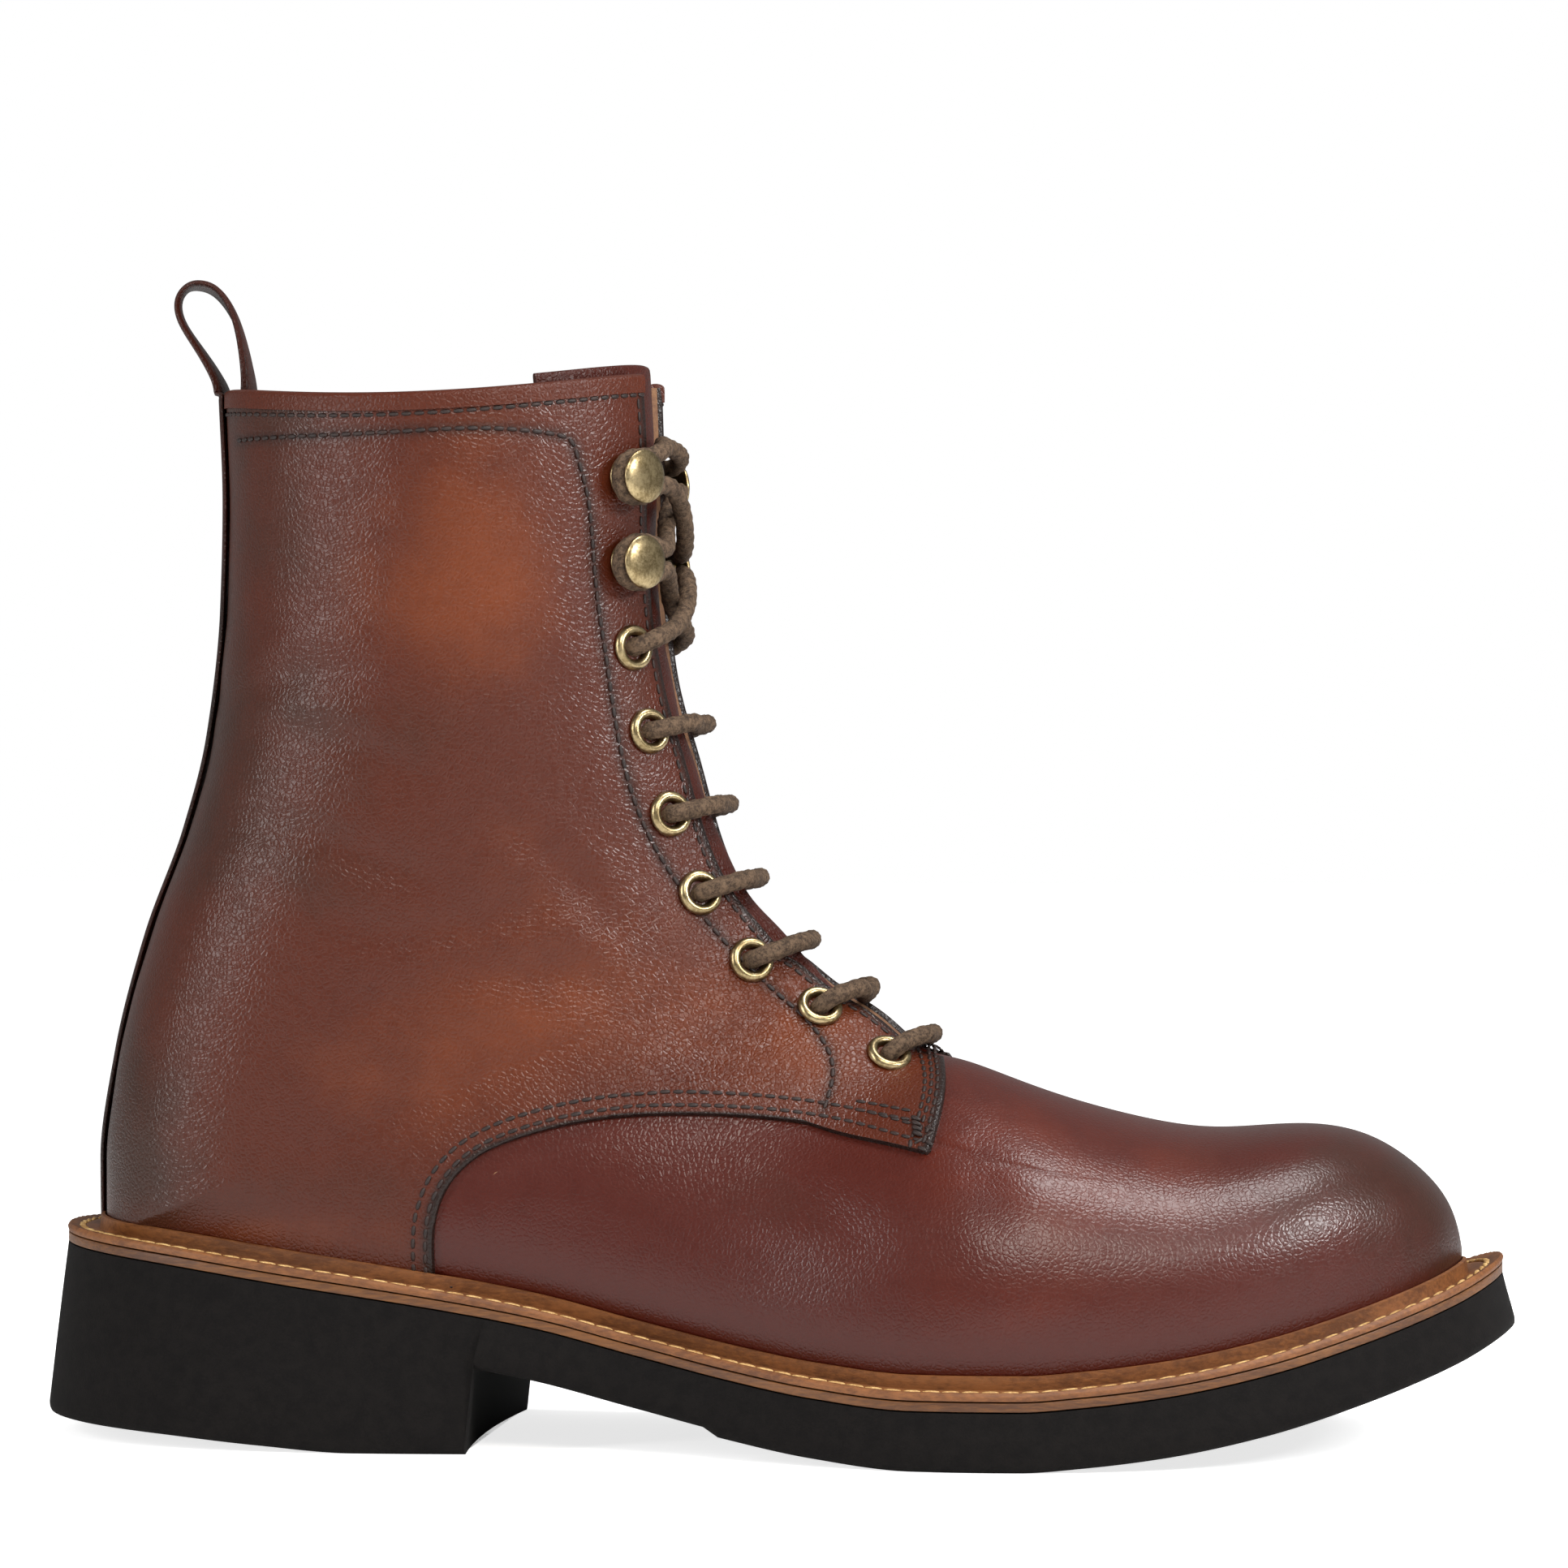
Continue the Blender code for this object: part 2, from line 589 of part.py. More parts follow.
def upper_band(height, side):
    """Plan of the upper's outer face at a height above the welt's base, heel to toe, pushed out
    by the clearance, and by the quarters' step behind their front edge."""
    first = float(np.interp(-height / SHAFT_BACK, -seam_height(RING_ROWS), RING_ROWS))
    fine = np.linspace(0, 1, 81)
    points = []
    heel_rows = first + np.linspace(0, 1, 61) ** 2
    for row in np.concatenate([heel_rows, np.arange(first + 1.05, TOE_ROW, 0.05), [TOE_ROW]]):
        angles = pi / 2 + fine * float(foot_angle(row))
        line = surface(row, angles, side)
        above = line[:, 2] - welt_base(line[:, 0])
        points.append(surface(row, float(np.interp(-height, -above, angles)), side))
    points = np.array(points)
    turn = np.linspace(0, pi, 361)
    x = points[0, 0] + (points[-1, 0] - points[0, 0]) * (1 - np.cos(turn)) / 2
    y = np.interp(x, points[:, 0], points[:, 1])
    reach = 2.4 * GAP + np.interp(x, STEP_DOWN, [1.05 * QUARTER_STEP + 2 * GAP, 0])
    return push_out(x, y, turn, side, reach)


def make_welt():
    """Strip along the upper: flange on the midsole, and a lip that leans on the upper."""
    bands = {}
    for side in (-1, 1):
        bands[side] = [upper_band(height, side) for height in (0, WELT_LIP / 2, WELT_LIP)]
    low = bands[-1][0]
    steps = [acos(1 - 2 * (x - low[0, 0]) / (low[-1, 0] - low[0, 0])) for x in STEP_DOWN]
    turns = np.sort(np.concatenate([np.linspace(0, pi, WELT_STATIONS), steps]))

    def station(turn, side):
        share = (1 - cos(turn)) / 2
        edge = WELT_EDGE[0 if side < 0 else 1]
        x = edge[0, 0] + share * (edge[-1, 0] - edge[0, 0])
        outer = np.array([x, side_y(edge, x) + SIDE_SHIFT])
        inner = []
        for band in bands[side]:
            band_x = band[0, 0] + share * (band[-1, 0] - band[0, 0])
            inner.append([band_x, side_y(band, band_x)])
        inner = np.array(inner)
        away = (outer - inner[0]) / np.linalg.norm(outer - inner[0])
        base, outer_base = float(welt_base(inner[0, 0])), float(welt_base(x))
        foot = inner[1] + away * LIP_THICKNESS
        top = inner[2] + away * LIP_THICKNESS / 2
        return [
            (*outer, outer_base), (*outer, outer_base + WELT_THICKNESS),
            (*foot, base + WELT_THICKNESS), (*top, base + WELT_LIP), (*inner[2], base + WELT_LIP),
            (*inner[1], base + WELT_LIP / 2), (*inner[0], base),
        ]

    loops = [station(turn, -1) for turn in turns]
    loops += [station(turn, 1) for turn in turns[-2:0:-1]]
    loops = np.array(loops)
    rows, columns = loops.shape[:2]
    faces = grid_faces(rows, columns, wrap_rows=True, wrap_columns=True)
    return add_mesh("welt", loops.reshape(-1, 3), faces, WELT_LEATHER)


# Upper

UPPER_ROWS = np.concatenate([
    np.linspace(0, SEAT_ROW, 13), np.linspace(SEAT_ROW, WAIST_ROW, 6)[1:],
    np.linspace(WAIST_ROW, TOE_ROW, 25)[1:],
])


def row_angles(row, half_gap):
    """Angles of one row's points, from the facing's edge to the back seam or the feather line."""
    start = float(front_angle(row, half_gap))
    front = np.linspace(start, pi / 2, FRONT_COLUMNS + 1)
    back = pi / 2 + np.linspace(0, 1, BACK_COLUMNS + 1)[1:] * float(foot_angle(row))
    return np.concatenate([front, back])


def upper_sheet(name, rows, half_gap, lift=0):
    """Sheet on the last's surface: both sides of each row, joined at the seam and the ridge."""
    points = []
    for row in rows:
        angles = row_angles(row, half_gap(row))
        line = np.concatenate([surface(row, angles, -1), surface(row, angles[::-1], 1)])
        points.append(line)
    points = np.array(points)
    if lift:
        rise = points[0] - points[1]
        points[0] += lift * rise / np.linalg.norm(rise, axis=1, keepdims=True)
    count = points.shape[1]
    seam = count // 2 - 1
    faces = [face[::-1] for face in grid_faces(len(rows), count) if face[0] % count != seam]
    return add_mesh(name, points.reshape(-1, 3), faces, CALF)


def quarter_outline():
    """Side view of the quarters: their sweep over the vamp, the tab and all that lies behind."""
    sweep = np.array(QUARTER_SWEEP)
    run = np.concatenate([[0], np.cumsum(np.hypot(*np.diff(sweep, axis=0).T))])
    share, height = natural_curve(run, sweep[:, 0]), natural_curve(run, sweep[:, 1])
    fine = np.linspace(run[1], run[-1], 22)
    x = last_x(share(fine))
    z = welt_base(x) + height(fine) * VAMP_HEIGHT
    tab = np.array(QUARTER_TAB)
    tab_x = last_x(tab[:, 0])
    tab_z = welt_base(tab_x) + tab[:, 1] * VAMP_HEIGHT
    margin = SOLE_LENGTH / 10
    far_back, above = LAST_BACK - margin, front_heights()[0] + margin
    base_x = np.linspace(far_back, QUARTER_FOOT_X, 9)
    base = list(zip(base_x, welt_base(base_x) + QUARTER_LIFT))
    return base + list(zip(x, z)) + list(zip(tab_x, tab_z)) + [(tab_x[-1], above), (far_back, above)]


def make_upper():
    """One wall: the vamp's level all round, with the quarters' leather standing a step above."""
    def base_gap(row):
        return float(throat_half(row)) if row <= THROAT_ROW else 0.0

    def quarter_gap(row):
        return float(throat_half(row)) - RIM

    upper = thicken(upper_sheet("upper", UPPER_ROWS, base_gap), 0, WALL)
    rows = UPPER_ROWS[UPPER_ROWS <= TAB_ROW]
    quarters = upper_sheet("quarter_guide", rows, quarter_gap, lift=RIM)
    thicken(quarters, QUARTER_STEP, QUARTER_ROOT)
    outline = quarter_outline()
    prism = add_loft("quarter_cutter", [[(x, y, z) for x, z in outline]
                                        for y in (-BALL_WIDTH, BALL_WIDTH)], CALF)
    combine(quarters, prism, "INTERSECT")
    combine(upper, quarters, "UNION")
    return upper


# Places along the facings

def facing_place(distance, inset, side):
    """Row and angle of a place on a facing.

    distance runs down the facing from the collar; inset is measured from the facing's edge.
    """
    rows = np.linspace(0, TAB_ROW, 171)
    sweep = np.linspace(0, 0.9, 181)
    angles = []
    for row in rows:
        fan = front_angle(row, float(throat_half(row))) + sweep
        line = surface(row, fan, side)
        run = np.concatenate([[0], np.cumsum(np.linalg.norm(np.diff(line, axis=0), axis=1))])
        angles.append(np.interp(inset, run, fan))
    angles = np.array(angles)
    line = surface(rows, angles, side)
    run = np.concatenate([[0], np.cumsum(np.linalg.norm(np.diff(line, axis=0), axis=1))])
    return np.interp(distance, run, rows), np.interp(distance, run, angles)


def facing_spot(distance, inset, side):
    """Point, outward normal and direction to the throat, on the quarter's outer face."""
    row, angle = facing_place(distance, inset, side)
    normal = surface_normal(row, angle, side)
    throat = surface(row, angle - 0.02, side) - surface(row, angle + 0.02, side)
    throat /= np.linalg.norm(throat)
    return surface(row, angle, side) + normal * QUARTER_STEP, normal, throat


def stand_on(thing, spot, normal, throat):
    """Place a turned piece on the facing, its axis along the normal, its X towards the throat."""
    up = Vector(normal)
    ahead = Vector(throat)
    across = up.cross(ahead).normalized()
    ahead = across.cross(up)
    turn = Matrix((ahead, across, up)).transposed().to_4x4()
    thing.matrix_world = Matrix.Translation(Vector(spot)) @ turn


def turned(name, profile, material, closed):
    """Turned piece about Z. The profile lists radius and height, counted outside upwards."""
    angles = 2 * pi * np.arange(ROUND_SIDES) / ROUND_SIDES
    loops = [[(r * cos(a), r * sin(a), z) for a in angles] for r, z in profile]
    points = np.array(loops).reshape(-1, 3)
    faces = grid_faces(len(profile), ROUND_SIDES, wrap_rows=closed, wrap_columns=True)
    faces = [face[::-1] for face in faces]
    if not closed:
        last = (len(profile) - 1) * ROUND_SIDES
        faces.append(tuple(range(ROUND_SIDES))[::-1])
        faces.append(tuple(range(last, last + ROUND_SIDES)))
    return add_mesh(name, points, faces, material)


SIDES = (("lateral", -1), ("medial", 1))
BARREL_RADIUS = EYELET_BORE / 2 + BARREL_WALL
RING_THICKNESS = 0.001


def fastening_distance(number):
    """Distance down the facing of the fastening with this number, counted from the top."""
    return FIRST_HOOK + EYELET_PITCH * number


def make_eyelets(upper):
    """Rings with a short barrel through the wall, and the holes for them."""
    bore, outer = EYELET_BORE / 2, EYELET_DIAMETER / 2
    depth = WALL + QUARTER_STEP - GAP
    profile = [
        (bore, -depth), (BARREL_RADIUS, -depth), (BARREL_RADIUS, SEAT_GAP),
        (outer, SEAT_GAP + GAP),
        ((outer + bore) / 2, SEAT_GAP + RING_THICKNESS), (bore, SEAT_GAP + RING_THICKNESS / 2),
    ]
    holes = []
    for word, side in SIDES:
        for number in range(EYELETS):
            distance = fastening_distance(HOOKS + EYELETS - 1 - number)
            spot, normal, throat = facing_spot(distance, EYELET_INSET, side)
            ring = turned(f"eyelet_{word}_{number + 1}", profile, BRASS, closed=True)
            stand_on(ring, spot, normal, throat)
            holes.append((spot, normal, throat))
    reach = 3 * (WALL + QUARTER_STEP)
    radius = BARREL_RADIUS + GAP
    for number, (spot, normal, throat) in enumerate(holes):
        drill = turned(f"eyelet_drill_{number}", [(radius, -reach), (radius, reach)], CALF, False)
        stand_on(drill, spot, normal, throat)
        combine(upper, drill, "DIFFERENCE")


def make_hooks():
    """Speed hooks: a round base, a stem and a domed cap, turned in one piece."""
    base, stem, cap = HOOK_BASE / 2, HOOK_STEM / 2, HOOK_CAP / 2
    floor = SEAT_GAP + RING_THICKNESS * 0.5
    under = floor + LACE_DIAMETER + 2 * GAP
    profile = [
        (base, SEAT_GAP), (base * 0.9, floor), (stem, floor), (stem, under), (cap * 0.93, under),
        (cap, under + RING_THICKNESS / 2), (cap * 0.75, under + RING_THICKNESS * 1.1),
        (cap * 0.35, under + RING_THICKNESS * 1.4),
    ]
    for word, side in SIDES:
        for number in range(HOOKS):
            distance = fastening_distance(HOOKS - 1 - number)
            spot, normal, throat = facing_spot(distance, EYELET_INSET, side)
            hook = turned(f"hook_{word}_{number + 1}", profile, BRASS, closed=False)
            stand_on(hook, spot, normal, throat)


# Tongue

def tongue_points(rows):
    """Rows of points inside the upper's wall, a little deeper where they run under the vamp."""
    points = []
    for row in rows:
        share = min(max(row / THROAT_ROW, 0), 1)
        half = TONGUE_HALF_TOP + (TONGUE_HALF_LOW - TONGUE_HALF_TOP) * share
        half = min(half, float(section(row)["half"]) * 0.9)
        edge = float(front_angle(row, half))
        spread = np.linspace(edge, 0, TONGUE_COLUMNS + 1)
        under_vamp = np.interp(row, [WAIST_ROW, THROAT_ROW], [0, 2 * GAP])
        depth = WALL + TONGUE_CLEARANCE + under_vamp
        line = []
        for side, angles in ((-1, spread), (1, spread[-2::-1])):
            normal = surface_normal(row, angles, side)
            line.append(surface(row, angles, side) - depth * normal)
        points.append(np.concatenate(line))
    return np.array(points)


def make_tongue():
    shaft = UPPER_ROWS[UPPER_ROWS < SEAT_ROW][::2]
    rows = np.concatenate([shaft, UPPER_ROWS[(UPPER_ROWS >= SEAT_ROW) & (UPPER_ROWS <= TONGUE_ROW)]])
    points = tongue_points(rows)
    rise = points[0] - points[1]
    top = points[0] + TONGUE_RISE * rise / np.linalg.norm(rise, axis=1, keepdims=True)
    points = np.concatenate([[top], points])
    faces = grid_faces(*points.shape[:2])
    tongue = add_mesh("tongue", points.reshape(-1, 3), faces, LINING)
    return thicken(tongue, 0, TONGUE_THICKNESS)


# Lace

def lace_point(distance, inset, side, height):
    """Point above a facing, at a height over the quarter's outer face."""
    spot, normal, _ = facing_spot(distance, inset, side)
    return spot + normal * height


def tongue_rest(distance, off_middle, side):
    """Middle of the lace where it rests on the tongue, or on the vamp at the throat's foot."""
    row = facing_place(distance, 0, side)[0]
    angle = float(front_angle(row, off_middle))
    normal = surface_normal(row, angle, side)
    if off_middle == 0:
        normal[1] = 0
        normal /= np.linalg.norm(normal)
    ground = 0 if row > THROAT_ROW - 1 else -(WALL + TONGUE_CLEARANCE)
    return surface(row, angle, side) + (ground + LACE_LIFT + LACE_SLACK) * normal


def smooth_route(points, count):
    """Evenly spaced points on the natural curve through a route's points."""
    points = np.array(points)
    run = np.concatenate([[0], np.cumsum(np.linalg.norm(np.diff(points, axis=0), axis=1))])
    curves = [natural_curve(run, points[:, axis]) for axis in range(3)]
    even = np.linspace(0, run[-1], count)
    return np.stack([curve(even) for curve in curves], axis=1)


def add_tube(name, path):
    """Round lace along a path, with a flat cap at each end."""
    radius = LACE_DIAMETER / 2
    along = np.gradient(path, axis=0)
    along /= np.linalg.norm(along, axis=1, keepdims=True)
    across = np.cross(along, (0.0, 0.0, 1.0))
    flat = np.linalg.norm(across, axis=1, keepdims=True)
    across = np.where(flat > 0.1, across / np.maximum(flat, 1e-9), np.array([0.0, 1.0, 0.0]))
    above = np.cross(across, along)
    loops = []
    for centre, right, up in zip(path, across, above):
        loops.append([centre + radius * (cos(a) * right + sin(a) * up)
                      for a in 2 * pi * np.arange(LACE_SIDES) / LACE_SIDES])
    return add_loft(name, loops, LACE)


LACE_LIFT = LACE_DIAMETER / 2 + GAP
ON_HOOK = SEAT_GAP + RING_THICKNESS / 2 + LACE_LIFT


def make_lace_bars():
    """Straight bars over the lower eyelets, from ring to ring, sagging between the facings."""
    over_ring = SEAT_GAP + RING_THICKNESS + LACE_LIFT + GAP
    for number in range(EYELETS - 1):
        distance = fastening_distance(HOOKS + EYELETS - 1 - number)
        route = []
        for _, side in SIDES:
            half = [lace_point(distance, EYELET_INSET, side, over_ring),
                    lace_point(distance, EYELET_INSET / 2, side, over_ring * 0.95),
                    lace_point(distance, 0, side, LACE_LIFT + 2 * GAP)]
            route += half if side < 0 else [tongue_rest(distance, 0, side)] + half[::-1]
        add_tube(f"lace_bar_{number + 1}", smooth_route(route, 9))


def make_lace_crossings():
    """Crossings from the top eyelets to the lower hooks, and from these to the upper hooks."""
    over_ring = SEAT_GAP + RING_THICKNESS + LACE_LIFT + 3 * GAP
    beside = HOOK_STEM / 2 + LACE_LIFT
    for number in range(HOOKS):
        low = fastening_distance(HOOKS - number)
        high = fastening_distance(HOOKS - 1 - number)
        middle = (low + high) / 2
        strands = []
        for _, side in SIDES:
            start_height = over_ring if number == 0 else ON_HOOK
            start = low if number == 0 else low - beside
            route = [lace_point(start, EYELET_INSET, side, start_height),
                     lace_point(start * 0.75 + middle * 0.25, 0, side, LACE_LIFT + 2 * GAP),
                     tongue_rest(middle, 0, side),
                     lace_point(high * 0.75 + middle * 0.25, 0, -side, LACE_LIFT + 2 * GAP),
                     lace_point(high + beside, EYELET_INSET, -side, ON_HOOK)]
            strands.append(smooth_route(route, 10))
        crossing = add_tube(f"lace_cross_{number + 1}", strands[0])
        other = add_tube(f"lace_strand_{number + 1}", strands[1])
        combine(crossing, other, "UNION")


def make_lace_ends():
    """Ends of the lace: from the upper hooks over the facings' edges, tucked onto the tongue."""
    distance = FIRST_HOOK - HOOK_STEM / 2 - LACE_LIFT
    for word, side in SIDES:
        route = [lace_point(distance, EYELET_INSET, side, ON_HOOK),
                 lace_point(distance, EYELET_INSET / 2, side, ON_HOOK),
                 lace_point(distance * 0.95, 0, side, LACE_LIFT + 3 * GAP),
                 tongue_rest(distance * 0.85, END_SPREAD, side)]
        path = smooth_route(route, 9)
        curve = bpy.data.curves.new(f"lace_end_{word}", "CURVE")
        curve.dimensions = "3D"
        curve.bevel_depth = LACE_DIAMETER / 2
        curve.bevel_resolution = 2
        curve.use_fill_caps = True
        spline = curve.splines.new("POLY")
        spline.points.add(len(path) - 1)
        for point, place in zip(spline.points, path):
            point.co = (*place, 1)
        curve.materials.append(LACE)
        end = bpy.data.objects.new(f"lace_end_{word}", curve)
        bpy.context.scene.collection.objects.link(end)


# Back strap

def strap_row(row, offset):
    """Strap's columns on one ring, offset outwards from the back seam's surface."""
    at = section(row)
    across = np.linspace(-STRAP_WIDTH / 2, STRAP_WIDTH / 2, STRAP_COLUMNS)
    share = (np.abs(across) / at["half"]) ** (1 / at["back_power"])
    line = []
    for y, angle in zip(across, pi / 2 + np.arccos(share)):
        side = 1 if y > 0 else -1
        normal = surface_normal(row, angle, side)
        if y == 0:
            normal[1] = 0
            normal /= np.linalg.norm(normal)
        line.append(surface(row, angle, side) + offset * normal)
    return line


def make_back_strap():
    """Backstay up the back seam, pull loop above the collar, and its tail inside."""
    outside = QUARTER_STEP + GAP + STRAP_THICKNESS / 2
    inside = -(WALL + TAIL_CLEARANCE + STRAP_THICKNESS / 2)
    low_row = float(np.interp(-(WELT_LIP + 0.001) / SHAFT_BACK, -seam_height(RING_ROWS), RING_ROWS))
    rings = UPPER_ROWS[(UPPER_ROWS < low_row - 0.2)]
    rows = [strap_row(low_row, outside)] + [strap_row(row, outside) for row in rings[::-1]]
    outer, inner = np.array(rows[-1][STRAP_COLUMNS // 2]), strap_row(0, inside)[STRAP_COLUMNS // 2]
    leaf_gap = inner[0] - outer[0]
    ends = [(0.0, 0.0)] + list(LOOP_LINE) + [(1.0, 0.0)]
    run = np.arange(len(ends))
    place, height = natural_curve(run, column(ends, 0)), natural_curve(run, column(ends, 1))
    across = np.linspace(-STRAP_WIDTH / 2, STRAP_WIDTH / 2, STRAP_COLUMNS)
    for t in np.linspace(0, run[-1], 18)[1:-1]:
        x, rise = outer[0] + leaf_gap * place(t), LOOP_HEIGHT * height(t)
        twist = LOOP_TWIST * min(rise / LOOP_HEIGHT, 1)
        rows.append([(x - sin(twist) * y, SIDE_SHIFT + cos(twist) * y, outer[2] + rise)
                     for y in across])
    tail_row = float(np.interp(LOOP_TAIL / SHAFT_BACK - 1, -seam_height(RING_ROWS), RING_ROWS))
    rows += [strap_row(row, inside) for row in (0, tail_row / 2, tail_row)]
    points = np.array(rows)
    faces = grid_faces(*points.shape[:2])
    strap = add_mesh("back_strap", points.reshape(-1, 3), faces, CALF)
    return thicken(strap, STRAP_THICKNESS / 2, STRAP_THICKNESS / 2)


for leftover in list(bpy.data.objects):
    bpy.data.objects.remove(leftover, do_unlink=True)

make_outsole()
make_midsole()
make_insole()
make_welt()
boot_upper = make_upper()
make_tongue()
make_back_strap()
make_eyelets(boot_upper)
make_hooks()
make_lace_bars()
make_lace_crossings()
make_lace_ends()
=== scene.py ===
"""Looks of the lace-up ankle boot, right foot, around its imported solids.

+X runs from heel to toe, +Y to the inner side and +Z up, in metres. The last's surface is worked
out here as in the part's source, and every piece of leather lies on it. Tables give side-view
places in millimetres from the sole's back end and above the floor.
"""
from functools import lru_cache
from math import acos, cos, pi, radians, sin

import bpy
import numpy as np
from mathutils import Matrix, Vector


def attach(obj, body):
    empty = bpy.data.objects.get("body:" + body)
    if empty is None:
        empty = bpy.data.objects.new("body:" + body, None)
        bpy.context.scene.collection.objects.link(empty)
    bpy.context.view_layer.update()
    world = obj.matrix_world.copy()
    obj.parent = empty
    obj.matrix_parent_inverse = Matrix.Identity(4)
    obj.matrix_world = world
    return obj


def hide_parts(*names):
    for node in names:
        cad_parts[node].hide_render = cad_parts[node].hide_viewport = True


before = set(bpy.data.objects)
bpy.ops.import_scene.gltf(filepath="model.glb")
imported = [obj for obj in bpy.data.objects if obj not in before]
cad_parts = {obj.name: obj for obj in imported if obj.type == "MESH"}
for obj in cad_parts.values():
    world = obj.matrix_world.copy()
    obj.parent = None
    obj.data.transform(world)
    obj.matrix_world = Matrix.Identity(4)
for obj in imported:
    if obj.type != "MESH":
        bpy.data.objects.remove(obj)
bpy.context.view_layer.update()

# Sole
SOLE_LENGTH = 0.305
SOLE_THICKNESS = 0.0116
WAIST_THICKNESS = 0.0103
HEEL_RISE = 0.0284
TOE_SPRING = 0.0244
HEEL_BEVEL = 0.0044
HEEL_FLARE = 0.004
TOE_FLARE = 0.0025
SIDE_FLARE = 0.0015
BREAST_BOW = 0.002
MIDSOLE_THICKNESS = 0.0018
WELT_REACH = 0.0085
WELT_THICKNESS = 0.0016
WELT_LIP = 0.0044
LIP_THICKNESS = 0.0013
INSOLE_THICKNESS = 0.003
INSOLE_CLEARANCE = 0.0005

# Last and upper
LAST_LENGTH = 0.280
BALL_WIDTH = 0.094
VAMP_HEIGHT = 0.0663
SHAFT_FRONT = 0.1189
SHAFT_BACK = 0.1752
WALL = 0.0018
QUARTER_STEP = 0.0013
THROAT_TOP = 0.0135
THROAT_LOW = 0.006
COLLAR_DIP = 0.0042

# Tongue and back strap
TONGUE_THICKNESS = 0.0018
TONGUE_HALF_TOP = 0.031
TONGUE_HALF_LOW = 0.019
TONGUE_RISE = 0.003
TONGUE_CLEARANCE = 0.0008
STRAP_WIDTH = 0.014
STRAP_THICKNESS = 0.0012
LOOP_HEIGHT = 0.0234
LOOP_TWIST = radians(15)
LOOP_TAIL = 0.012
TAIL_CLEARANCE = 0.001

# Fastenings
EYELETS = 7
HOOKS = 2
EYELET_PITCH = 0.0175
FIRST_HOOK = 0.020
EYELET_INSET = 0.0075
EYELET_DIAMETER = 0.0095
EYELET_BORE = 0.005
BARREL_WALL = 0.0005
HOOK_BASE = 0.0092
HOOK_CAP = 0.011
HOOK_STEM = 0.0032
LACE_DIAMETER = 0.0038
LACE_SLACK = 0.0005
END_SPREAD = 0.0035

# Clearance between pieces that touch
GAP = 0.0003
# Clearance under a flat piece on the facings, whose leather bends away from it or towards it
SEAT_GAP = 0.0005

# Feather line, where the upper meets the sole. Columns: share of the last's length from the heel;
# middle of the line towards +Y and half its width, both as shares of the ball width.
FEATHER = (
    (0.00, 0.000, 0.000),
    (0.03, 0.000, 0.200),
    (0.08, 0.000, 0.285),
    (0.15, -0.002, 0.320),
    (0.25, -0.008, 0.318),
    (0.36, -0.027, 0.296),
    (0.46, -0.053, 0.318),
    (0.56, -0.067, 0.398),
    (0.64, -0.045, 0.465),
    (0.72, -0.003, 0.489),
    (0.80, 0.023, 0.463),
    (0.88, 0.043, 0.392),
    (0.94, 0.058, 0.300),
    (0.98, 0.067, 0.195),
    (1.00, 0.070, 0.000),
)

# Sole's top face. Columns: share of the sole's length; share of the rise above the tread's flat.
HEEL_LINE = (
    (0.000, 1.000), (0.100, 0.900), (0.190, 0.765), (0.290, 0.606), (0.355, 0.479),
    (0.420, 0.310), (0.487, 0.155), (0.543, 0.060), (0.610, 0.000), (0.680, 0.000),
)
TOE_LINE = (
    (0.610, 0.000), (0.680, 0.000), (0.720, 0.035), (0.772, 0.110), (0.835, 0.262),
    (0.898, 0.488), (0.960, 0.766), (1.000, 1.000),
)
# Heel's lower face. Columns: share of the sole's length; share of the bevel.
HEEL_TREAD = ((0.000, 1.000), (0.100, 0.680), (0.170, 0.300), (0.235, 0.000), (0.310, 0.000))

# Stretches of the outsole, as shares of its length: the breast and the tread step fall between two
HEEL_END = 0.310
WAIST_START, WAIST_END = 0.316, 0.470
FORE_START = 0.480
# Shares of the length over which slices crowd towards the heel's and the toe's round end
HEEL_ROUND = 0.15
TOE_ROUND = 0.12

# Rings of the shaft, collar first. Columns: back point's share of the last's length; its height as
# a share of SHAFT_BACK above the seat; front point's share of the last's length; its height as a
# share of SHAFT_FRONT above the instep; half width as a share of the ball width; place of the
# widest point, from front to back; roundness of the front half and of the back half.
SHAFT_RINGS = (
    (0.088, 1.000, 0.411, 1.000, 0.394, 0.50, 2.00, 2.00),
    (0.091, 0.872, 0.414, 0.840, 0.388, 0.50, 2.00, 2.00),
    (0.089, 0.740, 0.416, 0.655, 0.378, 0.52, 2.00, 2.00),
    (0.079, 0.592, 0.427, 0.470, 0.367, 0.55, 2.00, 2.10),
    (0.061, 0.478, 0.444, 0.336, 0.362, 0.60, 2.00, 2.15),
    (0.032, 0.352, 0.462, 0.209, 0.362, 0.66, 1.98, 2.20),
    (0.010, 0.215, 0.482, 0.119, 0.362, 0.70, 1.96, 2.30),
    (-0.001, 0.090, 0.502, 0.066, 0.362, 0.73, 1.94, 2.30),
    (0.000, 0.000, 0.521, 0.016, 0.362, 0.75, 1.92, 2.30),
)
